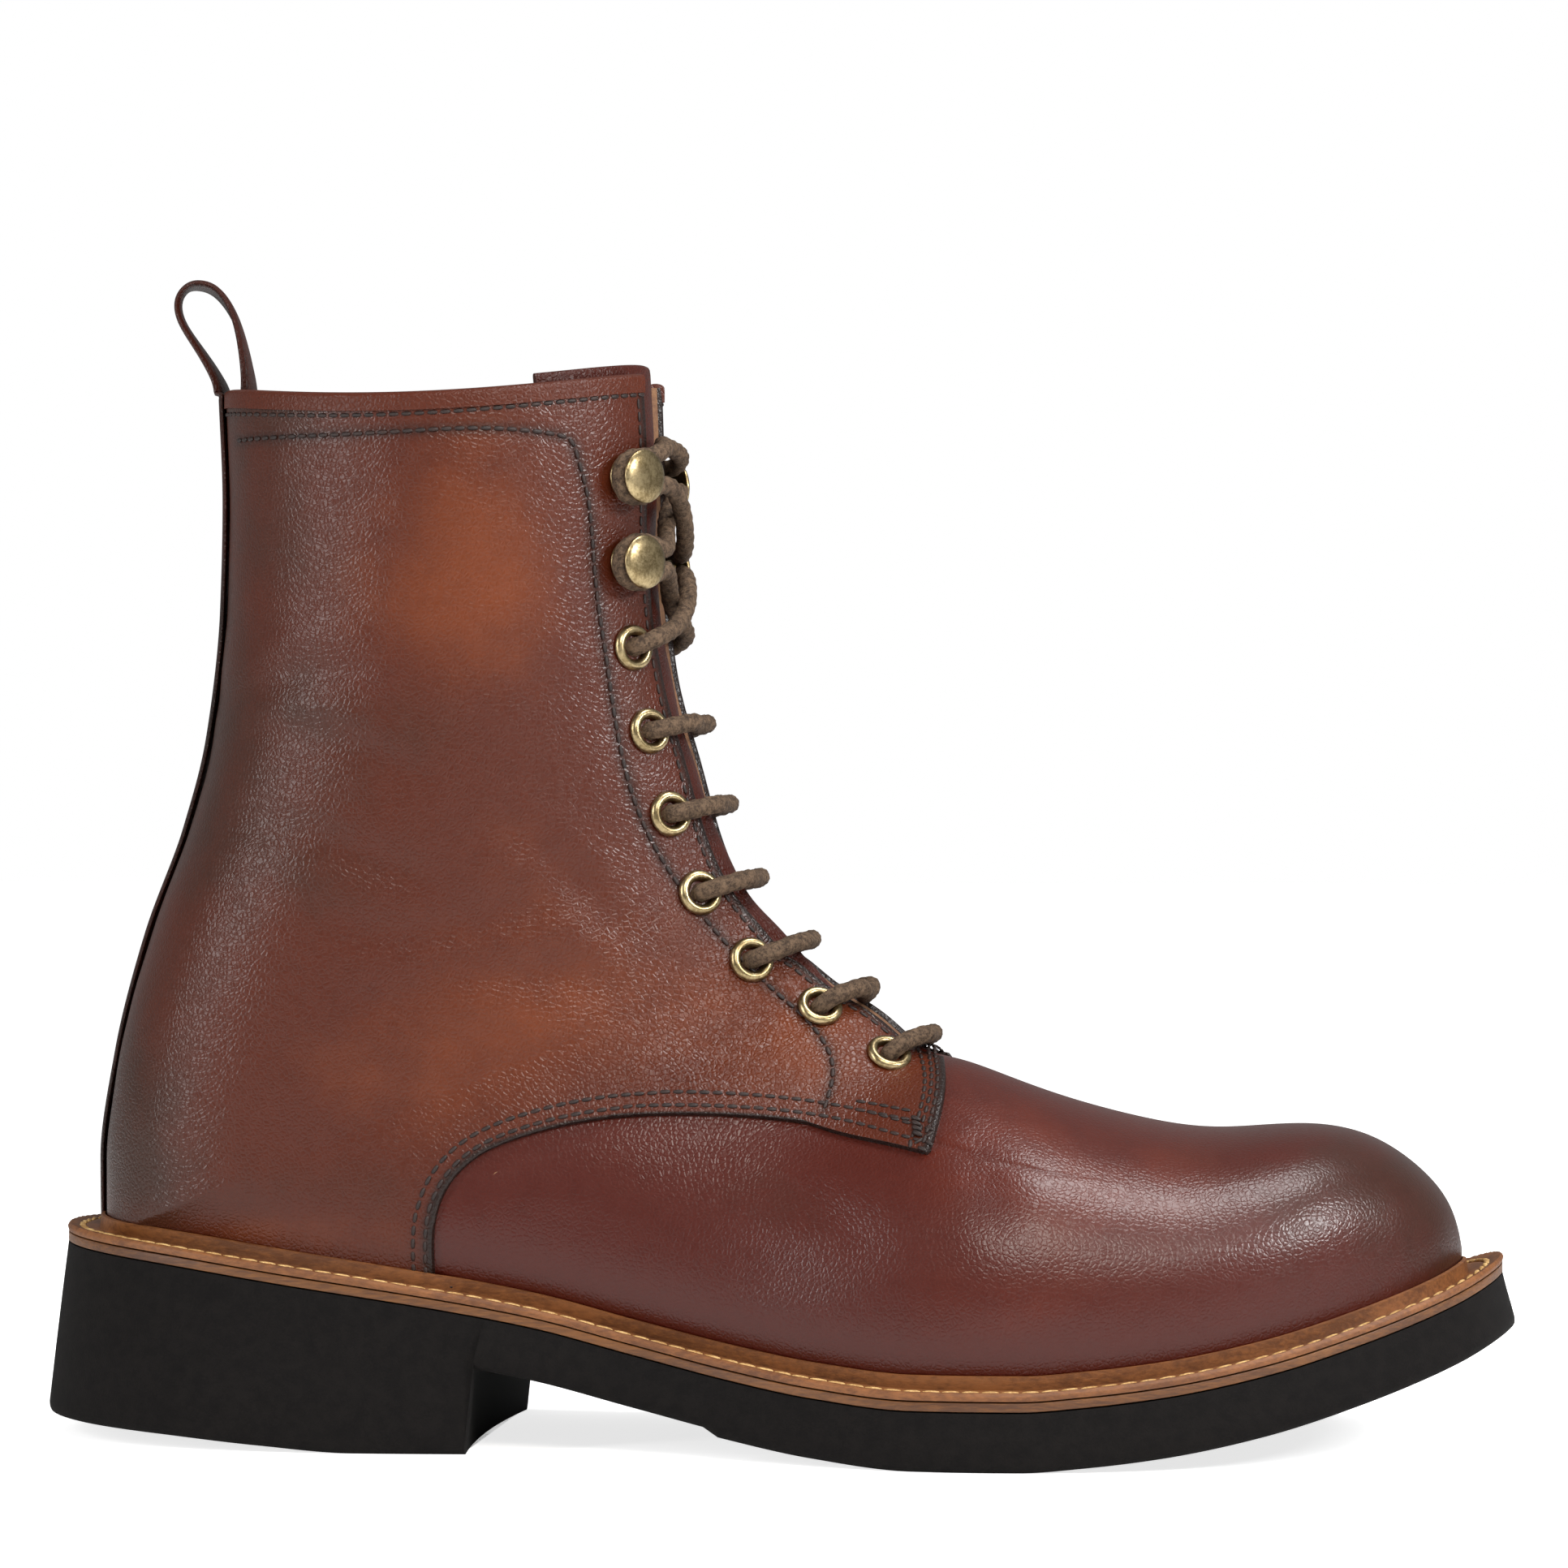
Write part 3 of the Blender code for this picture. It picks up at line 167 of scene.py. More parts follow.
# Arches of the foot, which stand on the feather line. Columns: foot point's and front point's
# shares of the last's length; front point's height above the feather line as a share of
# VAMP_HEIGHT; half width as a share of the feather line's half width there; place of the widest
# point; roundness of the upper half and of the lower half.
FOOT_ARCHES = (
    (0.010, 0.5280, 1.2670, None, 0.75, 1.90, 2.30),
    (0.030, 0.5360, 1.2350, None, 0.75, 1.90, 2.30),
    (0.062, 0.5475, 1.1900, None, 0.75, 1.90, 2.30),
    (0.150, 0.5625, 1.1450, 1.130, 0.72, 1.88, 2.30),
    (0.264, 0.5840, 1.0800, 1.165, 0.68, 1.85, 2.50),
    (0.371, 0.6070, 1.0000, 1.270, 0.66, 1.83, 2.60),
    (0.471, 0.6360, 0.9680, 1.260, 0.66, 1.85, 2.60),
    (0.564, 0.6750, 0.9125, 1.157, 0.68, 1.90, 2.60),
    (0.650, 0.7210, 0.8370, 1.090, 0.72, 2.00, 2.60),
    (0.736, 0.7750, 0.7530, 1.065, 0.75, 2.10, 2.60),
    (0.818, 0.8290, 0.6910, 1.060, 0.75, 2.20, 2.60),
    (0.893, 0.8890, 0.6395, 1.055, 0.74, 2.40, 2.70),
    (0.950, 0.9390, 0.5310, 1.050, 0.72, 2.40, 2.80),
    (0.981, 0.9770, 0.3560, 1.045, 0.70, 2.40, 2.80),
    (0.996, 0.9950, 0.2080, 1.040, 0.70, 2.40, 2.80),
    (1.000, 1.0010, 0.0900, 1.040, 0.70, 2.40, 2.80),
)
DIP_ROWS = 4
SEAT_ROW = 8
WAIST_ROW = 12
THROAT_ROW = 14
TONGUE_ROW = 16
TAB_ROW = 17
TOE_ROW = 24

# Quarters' front edge over the vamp, seen from the side. Columns: share of the last's length;
# height above the feather line as a share of VAMP_HEIGHT.
QUARTER_SWEEP = (
    (0.261, 0.000), (0.261, 0.195), (0.270, 0.326), (0.291, 0.439), (0.326, 0.535),
    (0.374, 0.627), (0.421, 0.692), (0.479, 0.742), (0.538, 0.756), (0.622, 0.704),
)

# Pull loop's middle line above the collar, seen from the side. Columns: place across the strap's
# two leaves, 0 at the outer and 1 at the inner one, and height as a share of LOOP_HEIGHT.
LOOP_LINE = (
    (-0.18, 0.15), (-0.86, 0.41), (-1.56, 0.66), (-1.72, 0.86), (-1.36, 0.98), (-0.84, 1.00),
    (-0.20, 0.93), (0.42, 0.71), (0.80, 0.41), (0.98, 0.15),
)


def natural_curve(xs, ys):
    """Natural cubic spline through the table's points, as a function of x."""
    xs, ys = np.array(xs, float), np.array(ys, float)
    steps = np.diff(xs)
    slopes = np.diff(ys) / steps
    system = np.eye(len(xs))
    right = np.zeros(len(xs))
    for i in range(1, len(xs) - 1):
        system[i, i - 1:i + 2] = steps[i - 1], 2 * (steps[i - 1] + steps[i]), steps[i]
        right[i] = 6 * (slopes[i] - slopes[i - 1])
    bend = np.linalg.solve(system, right)

    def curve(x):
        x = np.clip(x, xs[0], xs[-1])
        i = np.clip(np.searchsorted(xs, x) - 1, 0, len(xs) - 2)
        step, before, after = steps[i], x - xs[i], xs[i + 1] - x
        return ((bend[i] * after ** 3 + bend[i + 1] * before ** 3) / (6 * step)
                + (ys[i] / step - bend[i] * step / 6) * after
                + (ys[i + 1] / step - bend[i + 1] * step / 6) * before)

    return curve


def steady_curve(xs, ys):
    """Smooth curve through the table's points that never swings past them."""
    xs, ys = np.array(xs, float), np.array(ys, float)
    steps = np.diff(xs)
    slopes = np.diff(ys) / steps
    tangents = np.zeros(len(xs))
    tangents[0], tangents[-1] = slopes[0], slopes[-1]
    for i in range(1, len(xs) - 1):
        if slopes[i - 1] * slopes[i] > 0:
            tangents[i] = 2 / (1 / slopes[i - 1] + 1 / slopes[i])

    def curve(x):
        x = np.clip(x, xs[0], xs[-1])
        i = np.clip(np.searchsorted(xs, x) - 1, 0, len(xs) - 2)
        t = (x - xs[i]) / steps[i]
        rest = 1 - t
        return (ys[i] * (1 + 2 * t) * rest ** 2 + ys[i + 1] * (3 - 2 * t) * t ** 2
                + steps[i] * (tangents[i] * t * rest ** 2 - tangents[i + 1] * t ** 2 * rest))

    return curve


def column(table, index):
    return [row[index] for row in table]


# The last's base line and the sole's top face

LAST_BACK = (SOLE_LENGTH - LAST_LENGTH - WELT_REACH - TOE_FLARE) - SOLE_LENGTH / 2
TURN = [acos(1 - 2 * share) for share in column(FEATHER, 0)]
feather_middle = natural_curve(TURN, column(FEATHER, 1))
feather_half = natural_curve(TURN, column(FEATHER, 2))
heel_line = steady_curve(column(HEEL_LINE, 0), column(HEEL_LINE, 1))
toe_line = steady_curve(column(TOE_LINE, 0), column(TOE_LINE, 1))
heel_tread = steady_curve(column(HEEL_TREAD, 0), column(HEEL_TREAD, 1))


def feather_line(turn):
    """Middle and half width of the feather line; turn runs from 0 at the heel to pi at the toe."""
    return feather_middle(turn) * BALL_WIDTH, np.maximum(feather_half(turn), 0) * BALL_WIDTH


def last_x(share):
    return LAST_BACK + share * LAST_LENGTH


def sole_top(x):
    """Height of the sole's top face: the tread's thickness, the heel's rise and the toe spring."""
    share = x / SOLE_LENGTH + 0.5
    return SOLE_THICKNESS + HEEL_RISE * heel_line(share) + TOE_SPRING * toe_line(share)


def welt_base(x):
    """Height of the plane that the welt, the insole and the upper's lower edge stand on."""
    return sole_top(x) + MIDSOLE_THICKNESS + 2 * GAP


def push_out(x, y, turn, side, reach):
    """One side's line, heel to toe, moved outwards in plan by reach along its own normal."""
    along_x, along_y = np.gradient(x, turn), np.gradient(y, turn)
    along_x[[0, -1]] = 0
    length = np.hypot(along_x, along_y)
    out_x, out_y = -side * along_y / length, side * along_x / length
    return np.stack([x + reach * out_x, y + reach * out_y], axis=1)


def sides_of_outline(heel_reach, side_reach, toe_reach):
    """The feather line pushed outwards, as two dense lines from heel to toe.

    The push blends from the heel's to the side's and to the toe's value along the length.
    """
    turn = np.linspace(0, pi, 721)
    middle, half = feather_line(turn)
    x = last_x((1 - np.cos(turn)) / 2)
    back, front = np.clip(np.cos(turn), 0, 1) ** 2, np.clip(-np.cos(turn), 0, 1) ** 2
    reach = side_reach + back * (heel_reach - side_reach) + front * (toe_reach - side_reach)
    return [push_out(x, middle + side * half, turn, side, reach) for side in (-1, 1)]


def side_y(line, x):
    return np.interp(x, line[:, 0], line[:, 1])


HEEL_REACH = LAST_BACK + SOLE_LENGTH / 2 - HEEL_FLARE
WELT_EDGE = sides_of_outline(HEEL_REACH, WELT_REACH, WELT_REACH)
TREAD_EDGE = sides_of_outline(
    HEEL_REACH + HEEL_FLARE, WELT_REACH + SIDE_FLARE, WELT_REACH + TOE_FLARE)
# The whole boot is shifted sideways so that its sole is centred on the X axis.
SIDE_SHIFT = -(TREAD_EDGE[0][:, 1].min() + TREAD_EDGE[1][:, 1].max()) / 2


# The last's surface

RING_ROWS = np.arange(len(SHAFT_RINGS))
ARCH_ROWS = np.arange(len(FOOT_ARCHES)) + len(SHAFT_RINGS)
ALL_ROWS = np.concatenate([RING_ROWS, ARCH_ROWS])
seam_height = steady_curve(RING_ROWS, column(SHAFT_RINGS, 1))
back_share = steady_curve(ALL_ROWS, column(SHAFT_RINGS, 0) + column(FOOT_ARCHES, 0))
front_share = natural_curve(ALL_ROWS, column(SHAFT_RINGS, 2) + column(FOOT_ARCHES, 1))
widest_place = natural_curve(ALL_ROWS, column(SHAFT_RINGS, 5) + column(FOOT_ARCHES, 4))
front_roundness = natural_curve(ALL_ROWS, column(SHAFT_RINGS, 6) + column(FOOT_ARCHES, 5))
back_roundness = natural_curve(ALL_ROWS, column(SHAFT_RINGS, 7) + column(FOOT_ARCHES, 6))
ring_half = natural_curve(
    np.arange(WAIST_ROW + 1), column(SHAFT_RINGS, 4) + [SHAFT_RINGS[-1][4]] * 4)
arch_bulge = natural_curve(
    np.arange(WAIST_ROW, TOE_ROW + 1), column(FOOT_ARCHES[WAIST_ROW - len(SHAFT_RINGS):], 3))


def front_heights():
    """Front line's heights above the floor, row by row, from both tables."""
    arch_x = last_x(np.array(column(FOOT_ARCHES, 1)))
    arches = welt_base(arch_x) + VAMP_HEIGHT * np.array(column(FOOT_ARCHES, 2))
    rings = arches[0] + SHAFT_FRONT * np.array(column(SHAFT_RINGS, 3))
    return np.concatenate([rings, arches])


front_height = natural_curve(ALL_ROWS, front_heights())


def section(row):
    """All measures of the section planes at the given rows, each an array."""
    row = np.asarray(row, float)
    back_x = last_x(back_share(row))
    seat = welt_base(np.array(LAST_BACK))
    ring = row <= SEAT_ROW
    back_z = np.where(ring, seat + SHAFT_BACK * seam_height(row), welt_base(back_x))
    turn = np.arccos(1 - 2 * np.clip(back_share(row), 0, 1))
    middle, foot = feather_line(turn)
    foot = np.where(ring, 0, foot)
    half = np.where(row <= WAIST_ROW, ring_half(row) * BALL_WIDTH, arch_bulge(row) * foot)
    return {
        "back_x": back_x, "back_z": back_z,
        "front_x": last_x(front_share(row)), "front_z": front_height(row),
        "middle": np.where(ring, 0, middle) + SIDE_SHIFT, "half": half, "foot": foot,
        "widest": widest_place(row),
        "front_power": 2 / front_roundness(row), "back_power": 2 / back_roundness(row),
    }


def foot_angle(row):
    """Angle of the back half at its end: a right angle in a ring, less where an arch stands."""
    at = section(row)
    share = np.clip(at["foot"] / np.maximum(at["half"], 1e-9), 0, 1)
    share = np.where(at["half"] < 1e-6, 0.9, share)
    return np.arccos(share ** (1 / at["back_power"]))


def surface(row, angle, side):
    """Points of the last's outer surface, one for each row and angle.

    The angle is 0 on the front line and a right angle at the widest point. Up to there a point
    goes back by widest * (1 - cos(angle) ** power) of the plane's depth and sideways by
    sin(angle) ** power of the half width. Behind it, it goes back by the rest in proportion to
    sin ** power and sideways by cos ** power, until it reaches the back seam or the feather line.
    The collar dips at its sides, by the square of the share of the half width.
    """
    row, angle = np.broadcast_arrays(np.asarray(row, float), np.asarray(angle, float))
    at = section(row)
    end = np.maximum(foot_angle(row), 1e-6)
    ahead = np.clip(angle, 0, pi / 2)
    behind = np.clip(angle - pi / 2, 0, end)
    depth_front = at["widest"] * (1 - np.cos(ahead).clip(0) ** at["front_power"])
    depth_back = (1 - at["widest"]) * (np.sin(behind) / np.sin(end)) ** at["back_power"]
    depth = np.where(angle <= pi / 2, depth_front, at["widest"] + depth_back)
    wide_front = np.sin(ahead) ** at["front_power"]
    wide_back = np.cos(behind).clip(0) ** at["back_power"]
    wide_share = np.where(angle <= pi / 2, wide_front, wide_back)
    wide = at["half"] * wide_share
    x = at["front_x"] + depth * (at["back_x"] - at["front_x"])
    dip = COLLAR_DIP * np.clip(1 - row / DIP_ROWS, 0, 1) * wide_share ** 2
    z = at["front_z"] + depth * (at["back_z"] - at["front_z"]) - dip
    return np.stack([x, at["middle"] + side * wide, z], axis=-1)


def surface_normal(row, angle, side):
    """Outward unit normal of the last, from small steps along both parameters."""
    row, angle = np.broadcast_arrays(np.asarray(row, float), np.asarray(angle, float))
    row = np.clip(row, 0.01, TOE_ROW - 0.03)
    end = pi / 2 + foot_angle(row)
    angle = np.clip(angle, 0.02, end - 0.01)
    step = 0.01
    down = surface(row + step, angle, side) - surface(row - step, angle, side)
    round_ = surface(row, angle + step, side) - surface(row, angle - step, side)
    normal = np.cross(down, round_) * side
    return normal / np.linalg.norm(normal, axis=-1, keepdims=True)


def front_angle(row, half_gap):
    """Angle on the front half where a row lies half_gap from the middle plane."""
    at = section(row)
    share = np.clip(half_gap / np.maximum(at["half"], 1e-9), 0, 1)
    return np.arcsin(share ** (1 / at["front_power"]))


def throat_half(row):
    """Half the gap between the facings: widest at the collar, narrowest at the throat's foot."""
    return THROAT_LOW + (THROAT_TOP - THROAT_LOW) * np.clip(1 - row / THROAT_ROW, 0, 1)


@lru_cache(maxsize=None)
def facing_table(inset, side):
    """Rows, angles and length run down the facing at an inset from its edge, as dense tables."""
    rows = np.linspace(0, TAB_ROW, 171)
    fans = front_angle(rows, throat_half(rows))[:, None] + np.linspace(0, 0.9, 181)[None]
    lines = surface(np.broadcast_to(rows[:, None], fans.shape), fans, side)
    runs = np.cumsum(np.linalg.norm(np.diff(lines, axis=1), axis=2), axis=1)
    runs = np.concatenate([np.zeros((len(rows), 1)), runs], axis=1)
    angles = np.array([np.interp(inset, run, fan) for run, fan in zip(runs, fans)])
    line = surface(rows, angles, side)
    run = np.concatenate([[0], np.cumsum(np.linalg.norm(np.diff(line, axis=0), axis=1))])
    return rows, angles, run


def facing_place(distance, inset, side):
    """Row and angle of a place on a facing: its distance down from the collar, and its inset."""
    rows, angles, run = facing_table(float(inset), side)
    return np.interp(distance, run, rows), np.interp(distance, run, angles)


def facing_spot(distance, inset, side):
    """Point, outward normal and direction to the throat, on the quarter's outer face."""
    row, angle = facing_place(distance, inset, side)
    normal = surface_normal(row, angle, side)
    throat = surface(row, angle - 0.02, side) - surface(row, angle + 0.02, side)
    throat /= np.linalg.norm(throat)
    return surface(row, angle, side) + normal * QUARTER_STEP, normal, throat


SIDES = (("lateral", -1), ("medial", 1))
BARREL_RADIUS = EYELET_BORE / 2 + BARREL_WALL
RING_THICKNESS = 0.001


def fastening_distance(number):
    """Distance down the facing of the fastening with this number, counted from the top."""
    return FIRST_HOOK + EYELET_PITCH * number


LACE_LIFT = LACE_DIAMETER / 2 + GAP
ON_HOOK = SEAT_GAP + RING_THICKNESS / 2 + LACE_LIFT


def lace_point(distance, inset, side, height):
    """Point above a facing, at a height over the quarter's outer face."""
    spot, normal, _ = facing_spot(distance, inset, side)
    return spot + normal * height


def tongue_rest(distance, off_middle, side):
    """Middle of the lace where it rests on the tongue, or on the vamp at the throat's foot."""
    row = facing_place(distance, 0, side)[0]
    angle = float(front_angle(row, off_middle))
    normal = surface_normal(row, angle, side)
    if off_middle == 0:
        normal[1] = 0
        normal /= np.linalg.norm(normal)
    ground = 0 if row > THROAT_ROW - 1 else -(WALL + TONGUE_CLEARANCE)
    return surface(row, angle, side) + (ground + LACE_LIFT + LACE_SLACK) * normal


QUARTER_FOOT_X = last_x(QUARTER_SWEEP[0][0])
STEP_DOWN = (QUARTER_FOOT_X + 2 * GAP, QUARTER_FOOT_X + 4 * QUARTER_STEP)
INSOLE_EDGE = sides_of_outline(*[-(WALL + INSOLE_CLEARANCE)] * 3)


def smooth_line(points, count=60):
    """Smooth line through a table of side-view points."""
    points = np.array(points, float)
    run = np.concatenate([[0], np.cumsum(np.hypot(*np.diff(points, axis=0).T))])
    even = np.linspace(0, run[-1], count)
    return np.stack([natural_curve(run, points[:, axis])(even) for axis in (0, 1)], axis=1)


TREAD_POINTS = 25
TOOTH_PITCH = 0.0016
TOOTH_HEIGHT = 0.00022
SIDE_BULGE = 0.0003
EDGE_ROUND = 0.0018
STITCH_PITCH = 0.00265
STITCH = (0.0021, 0.0009, 0.0006)
WELT_PITCH = 0.0039
WELT_STITCH = (0.0037, 0.0013, 0.0010)
STITCH_PLACE = 0.45
BRAID_PITCH = 0.0036
LACE_SIDES = 24
LACE_STEP = 0.00045
TURNED_SIDES = 40
# Offsets from the last: thread above the leather, and the lining's outer face under the quarters
# and under the vamp, whose leather is half a wall thick
THREAD_LIFT = 0.00005
LINING_GAP = 0.00005
LINING_UNDER_VAMP = 0.00095
LEATHER_ROUNDING = 0.0006
# Heights of the leather's slow and its shorter waves, in millimetres, and how far the dark mark of a
# free border and the painted shade along the band's seam reach
SLOW_WAVE = 0.22
SHORT_WAVE = 0.10
BORDER_MARK = 2.2
PAINTED_SHADE_REACH = 1.5
SEAM_TROUGH = 1.3
# Backstay: stitched groove's depth, half width and inset, and how far its thread sinks in
STRAP_GROOVE = 0.00018
STRAP_GROOVE_HALF = 0.0006
STRAP_GROOVE_INSET = 0.0018
STRAP_THREAD_SINK = 0.0003
RIM_SEAM_ROW = 0.19
# Facing's seam: inset from its edge, first and last distance down from the collar
FACING_SEAM = (0.0025, 0.004, 0.157)
# Knot at the tab's lower corner: size of a turn, pitch, lift and lean
KNOT = (0.0024, 0.0011, 0.0011)
KNOT_PITCH = 0.0012
KNOT_LIFT = 0.0004
KNOT_LEAN = 0.9
# Trough along the band's seam, and the strength of the painted shade that darkens the leather's colour along
# it
SEAM_DEPTH = 0.00018
PAINTED_SEAM_SHADE = 0.55

# Camera and studio
PHOTO_PIXELS = 1932
FOCAL_PIXELS = 6465
SENSOR = 36.0
VIEW_DISTANCE = 1.088
VIEW_YAW = radians(6.5)
EYE_HEIGHT = 0.135
AIM_X = 0.0022
WORLD_LIGHT = 0.28
FLOOR_GLOW = 0.76
# Name, place, target, size in metres, power in watts, colour
STUDIO_LIGHTS = (
    ("top_front", (0.30, -0.95, 0.85), (0.02, 0, 0.08), (0.5, 0.35), 7, "FFFAF2"),
    ("left_front", (-0.8, -0.6, 0.42), (-0.08, 0, 0.12), (0.16, 0.6), 4, "FFFFFF"),
    ("overhead", (0.40, -0.12, 1.1), (0.06, 0, 0.06), (0.4, 0.35), 7, "FFFFFF"),
    ("right_front", (0.78, -0.40, 0.50), (0.12, 0, 0.05), (0.22, 0.18), 5, "FFFFFF"),
)

# Side view of the quarters' front edge, in millimetres: sweep, tab corner and tab front
QUARTER_EDGE = np.concatenate([
    smooth_line([(87.2, 30.0), (87.2, 37.8), (87.4, 44.3), (89.7, 52.6), (95.5, 59.1), (105.4, 63.6),
                 (118.7, 66.7), (131.8, 67.9), (148.2, 67.7), (164.6, 65.9), (188.2, 60.7)], 90),
    smooth_line([(188.2, 60.7), (189.8, 68.0), (189.8, 75.3), (185.8, 82.5), (181.0, 88.0)], 16)])
# Gaps of the sweep's two seams behind that edge
SWEEP_ROWS = (1.6, 4.1)
BAND_LINE = smooth_line([(44.0, 206.0), (80.0, 206.2), (110.5, 205.9), (113.6, 204.8), (114.8, 202.0),
                         (116.5, 194.9), (117.9, 178.5), (119.8, 162.1), (122.3, 145.8), (126.5, 129.4),
                         (133.0, 116.4), (142.9, 103.4), (156.1, 90.4), (164.3, 82.3), (166.7, 77.4),
                         (165.9, 68.6)], 200)
TAB_EDGE = smooth_line([(185.9, 64.0), (187.0, 69.0), (187.0, 75.0), (184.6, 80.0)], 20)
TAB_BARS = (((172.0, 70.2), (184.0, 68.2)), ((172.0, 68.6), (184.0, 66.6)))
TAB_KNOT = ((185.0, 67.0), (185.8, 63.4))
# Creases: side-view line, depth in millimetres and half width in millimetres
CREASES = (
    (smooth_line([(37.0, 150.0), (50.0, 154.0), (63.0, 158.0), (76.0, 156.0)], 20), 0.55, 3.4),
    (smooth_line([(38.0, 141.0), (52.0, 146.0), (70.0, 143.0), (88.0, 134.0)], 20), 0.45, 3.0),
    (smooth_line([(34.0, 124.0), (50.0, 127.0), (68.0, 122.0), (92.0, 112.0)], 20), 0.50, 3.6),
    (smooth_line([(60.0, 108.0), (82.0, 104.0), (104.0, 110.0), (120.0, 118.0)], 20), 0.40, 4.2),
    (smooth_line([(70.0, 90.0), (92.0, 96.0), (112.0, 96.0), (130.0, 90.0)], 20), 0.35, 3.8),
    (smooth_line([(98.0, 128.0), (108.0, 122.0), (117.0, 112.0), (128.0, 100.0)], 20), 0.40, 3.0),
    (smooth_line([(150.0, 58.0), (168.0, 50.0), (182.0, 38.0)], 20), 0.35, 5.0),
    (smooth_line([(196.0, 66.0), (200.0, 56.0), (206.0, 44.0)], 20), 0.30, 4.0),
)
# Spots of tone: place along and up, half width and half height, dark burnish, light cognac
TONE_SPOTS = (
    (24, 190, 16, 70, 0.6, 0.0), (52, 196, 16, 40, 0.5, 0.0), (70, 216, 70, 7, 0.45, 0.0),
    (94, 190, 24, 24, 0.0, 0.5), (86, 168, 20, 16, 0.0, 0.45), (104, 172, 10, 24, 0.0, 0.35),
    (66, 146, 26, 14, 0.5, 0.0), (60, 120, 24, 14, 0.45, 0.0), (36, 140, 14, 40, 0.5, 0.0),
    (106, 112, 24, 18, 0.0, 0.4), (84, 76, 26, 17, 0.0, 0.5), (110, 86, 20, 12, 0.0, 0.45),
    (18, 70, 16, 40, 0.75, 0.0), (30, 56, 20, 18, 0.35, 0.0), (66, 54, 26, 7, 0.4, 0.0),
    (54, 44, 24, 5, 0.0, 0.5), (142, 88, 26, 22, 0.0, 0.45), (168, 82, 16, 14, 0.0, 0.5),
    (126, 150, 5, 40, 0.3, 0.0), (160, 52, 18, 10, 0.35, 0.0), (198, 64, 18, 14, 0.0, 0.4),
    (230, 54, 22, 12, 0.1, 0.45), (270, 56, 26, 18, 0.55, 0.0), (292, 48, 18, 26, 0.75, 0.0),
    (232, 34, 26, 6, 0.2, 0.1), (200, 30, 26, 8, 0.0, 0.3),
)


# Meshes

def grid_quads(rows, columns, wrap_rows=False, wrap_columns=False):
    """Quads of a grid of points stored row by row, as an array of four indices each."""
    i, j = np.meshgrid(np.arange(rows if wrap_rows else rows - 1),
                       np.arange(columns if wrap_columns else columns - 1), indexing="ij")
    after_i, after_j = (i + 1) % rows, (j + 1) % columns
    quads = [i * columns + j, after_i * columns + j, after_i * columns + after_j, i * columns + after_j]
    return np.stack(quads, axis=-1).reshape(-1, 4)


def facing_out(points, quads):
    """The quads, all turned round if together they enclose a negative volume."""
    a, b, c, d = (points[quads[:, k]] for k in range(4))
    volume = np.einsum("ij,ij->", a, np.cross(b, c)) + np.einsum("ij,ij->", a, np.cross(c, d))
    return quads if volume > 0 else quads[:, ::-1]


def add_piece(name, points, quads, material, replaced=(), marks=None, sharp=50):
    """Mesh piece that rides on the boot. marks holds a number for each point, by name."""
    points = np.asarray(points, float).reshape(-1, 3)
    quads = facing_out(points, np.asarray(quads))
    mesh = bpy.data.meshes.new(name)
    mesh.from_pydata(points, [], quads.tolist())
    for mark, values in (marks or {}).items():
        attribute = mesh.attributes.new(mark, "FLOAT", "POINT")
        attribute.data.foreach_set("value", np.asarray(values, np.float32).ravel())
    mesh.shade_smooth()
    mesh.set_sharp_from_angle(angle=radians(sharp))
    mesh.materials.append(material)
    piece = bpy.data.objects.new(name, mesh)
    bpy.context.scene.collection.objects.link(piece)
    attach(piece, "root")
    if replaced:
        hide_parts(*replaced)
    return piece


def shell(outer, inner):
    """Points and quads of a closed wall between two grids, with its four borders filled."""
    rows, columns = outer.shape[:2]
    count = rows * columns
    ids = np.arange(count).reshape(rows, columns)
    top = grid_quads(rows, columns)
    rim = np.concatenate([ids[0, :-1], ids[:-1, -1], ids[-1, :0:-1], ids[:0:-1, 0]])
    after = np.roll(rim, -1)
    wall = np.stack([rim, after, after + count, rim + count], axis=-1)
    points = np.concatenate([outer.reshape(-1, 3), inner.reshape(-1, 3)])
    return points, np.concatenate([top, top[:, ::-1] + count, wall])


def run_of(line):
    """Length run along a line of points, from zero."""
    return np.concatenate([[0], np.cumsum(np.linalg.norm(np.diff(line, axis=0), axis=1))])


def even_points(line, count):
    run = run_of(line)
    even = np.linspace(0, run[-1], count)
    return np.stack([np.interp(even, run, line[:, axis]) for axis in range(3)], axis=1)


def frames_along(path, up):
    """Unit tangents, sideways vectors and upward vectors along a path."""
    along = np.gradient(path, axis=0)
    along /= np.linalg.norm(along, axis=1, keepdims=True)
    across = np.cross(along, up)
    across /= np.linalg.norm(across, axis=1, keepdims=True)
    return along, across, np.cross(across, along)


# Relief of the leather: creases, stitched troughs and the hand's unevenness

def line_distance(x, z, line):
    """Distance in the side view from points to a line, and the share of the line run there."""
    line = np.asarray(line, float)
    best = np.full(x.shape, 1e9)
    share = np.zeros(x.shape)
    run = np.concatenate([[0], np.cumsum(np.hypot(*np.diff(line, axis=0).T))])
    for i in range(len(line) - 1):
        a, d = line[i], line[i + 1] - line[i]
        t = np.clip(((x - a[0]) * d[0] + (z - a[1]) * d[1]) / (d @ d), 0, 1)
        gap = np.hypot(x - a[0] - t * d[0], z - a[1] - t * d[1])
        nearer = gap < best
        best = np.where(nearer, gap, best)
        share = np.where(nearer, (run[i] + t * (run[i + 1] - run[i])) / run[-1], share)
    return best, share


def side_view(points):
    """Millimetres from the sole's back end, and height, of points in metres."""
    return (points[..., 0] + SOLE_LENGTH / 2) * 1000, points[..., 2] * 1000


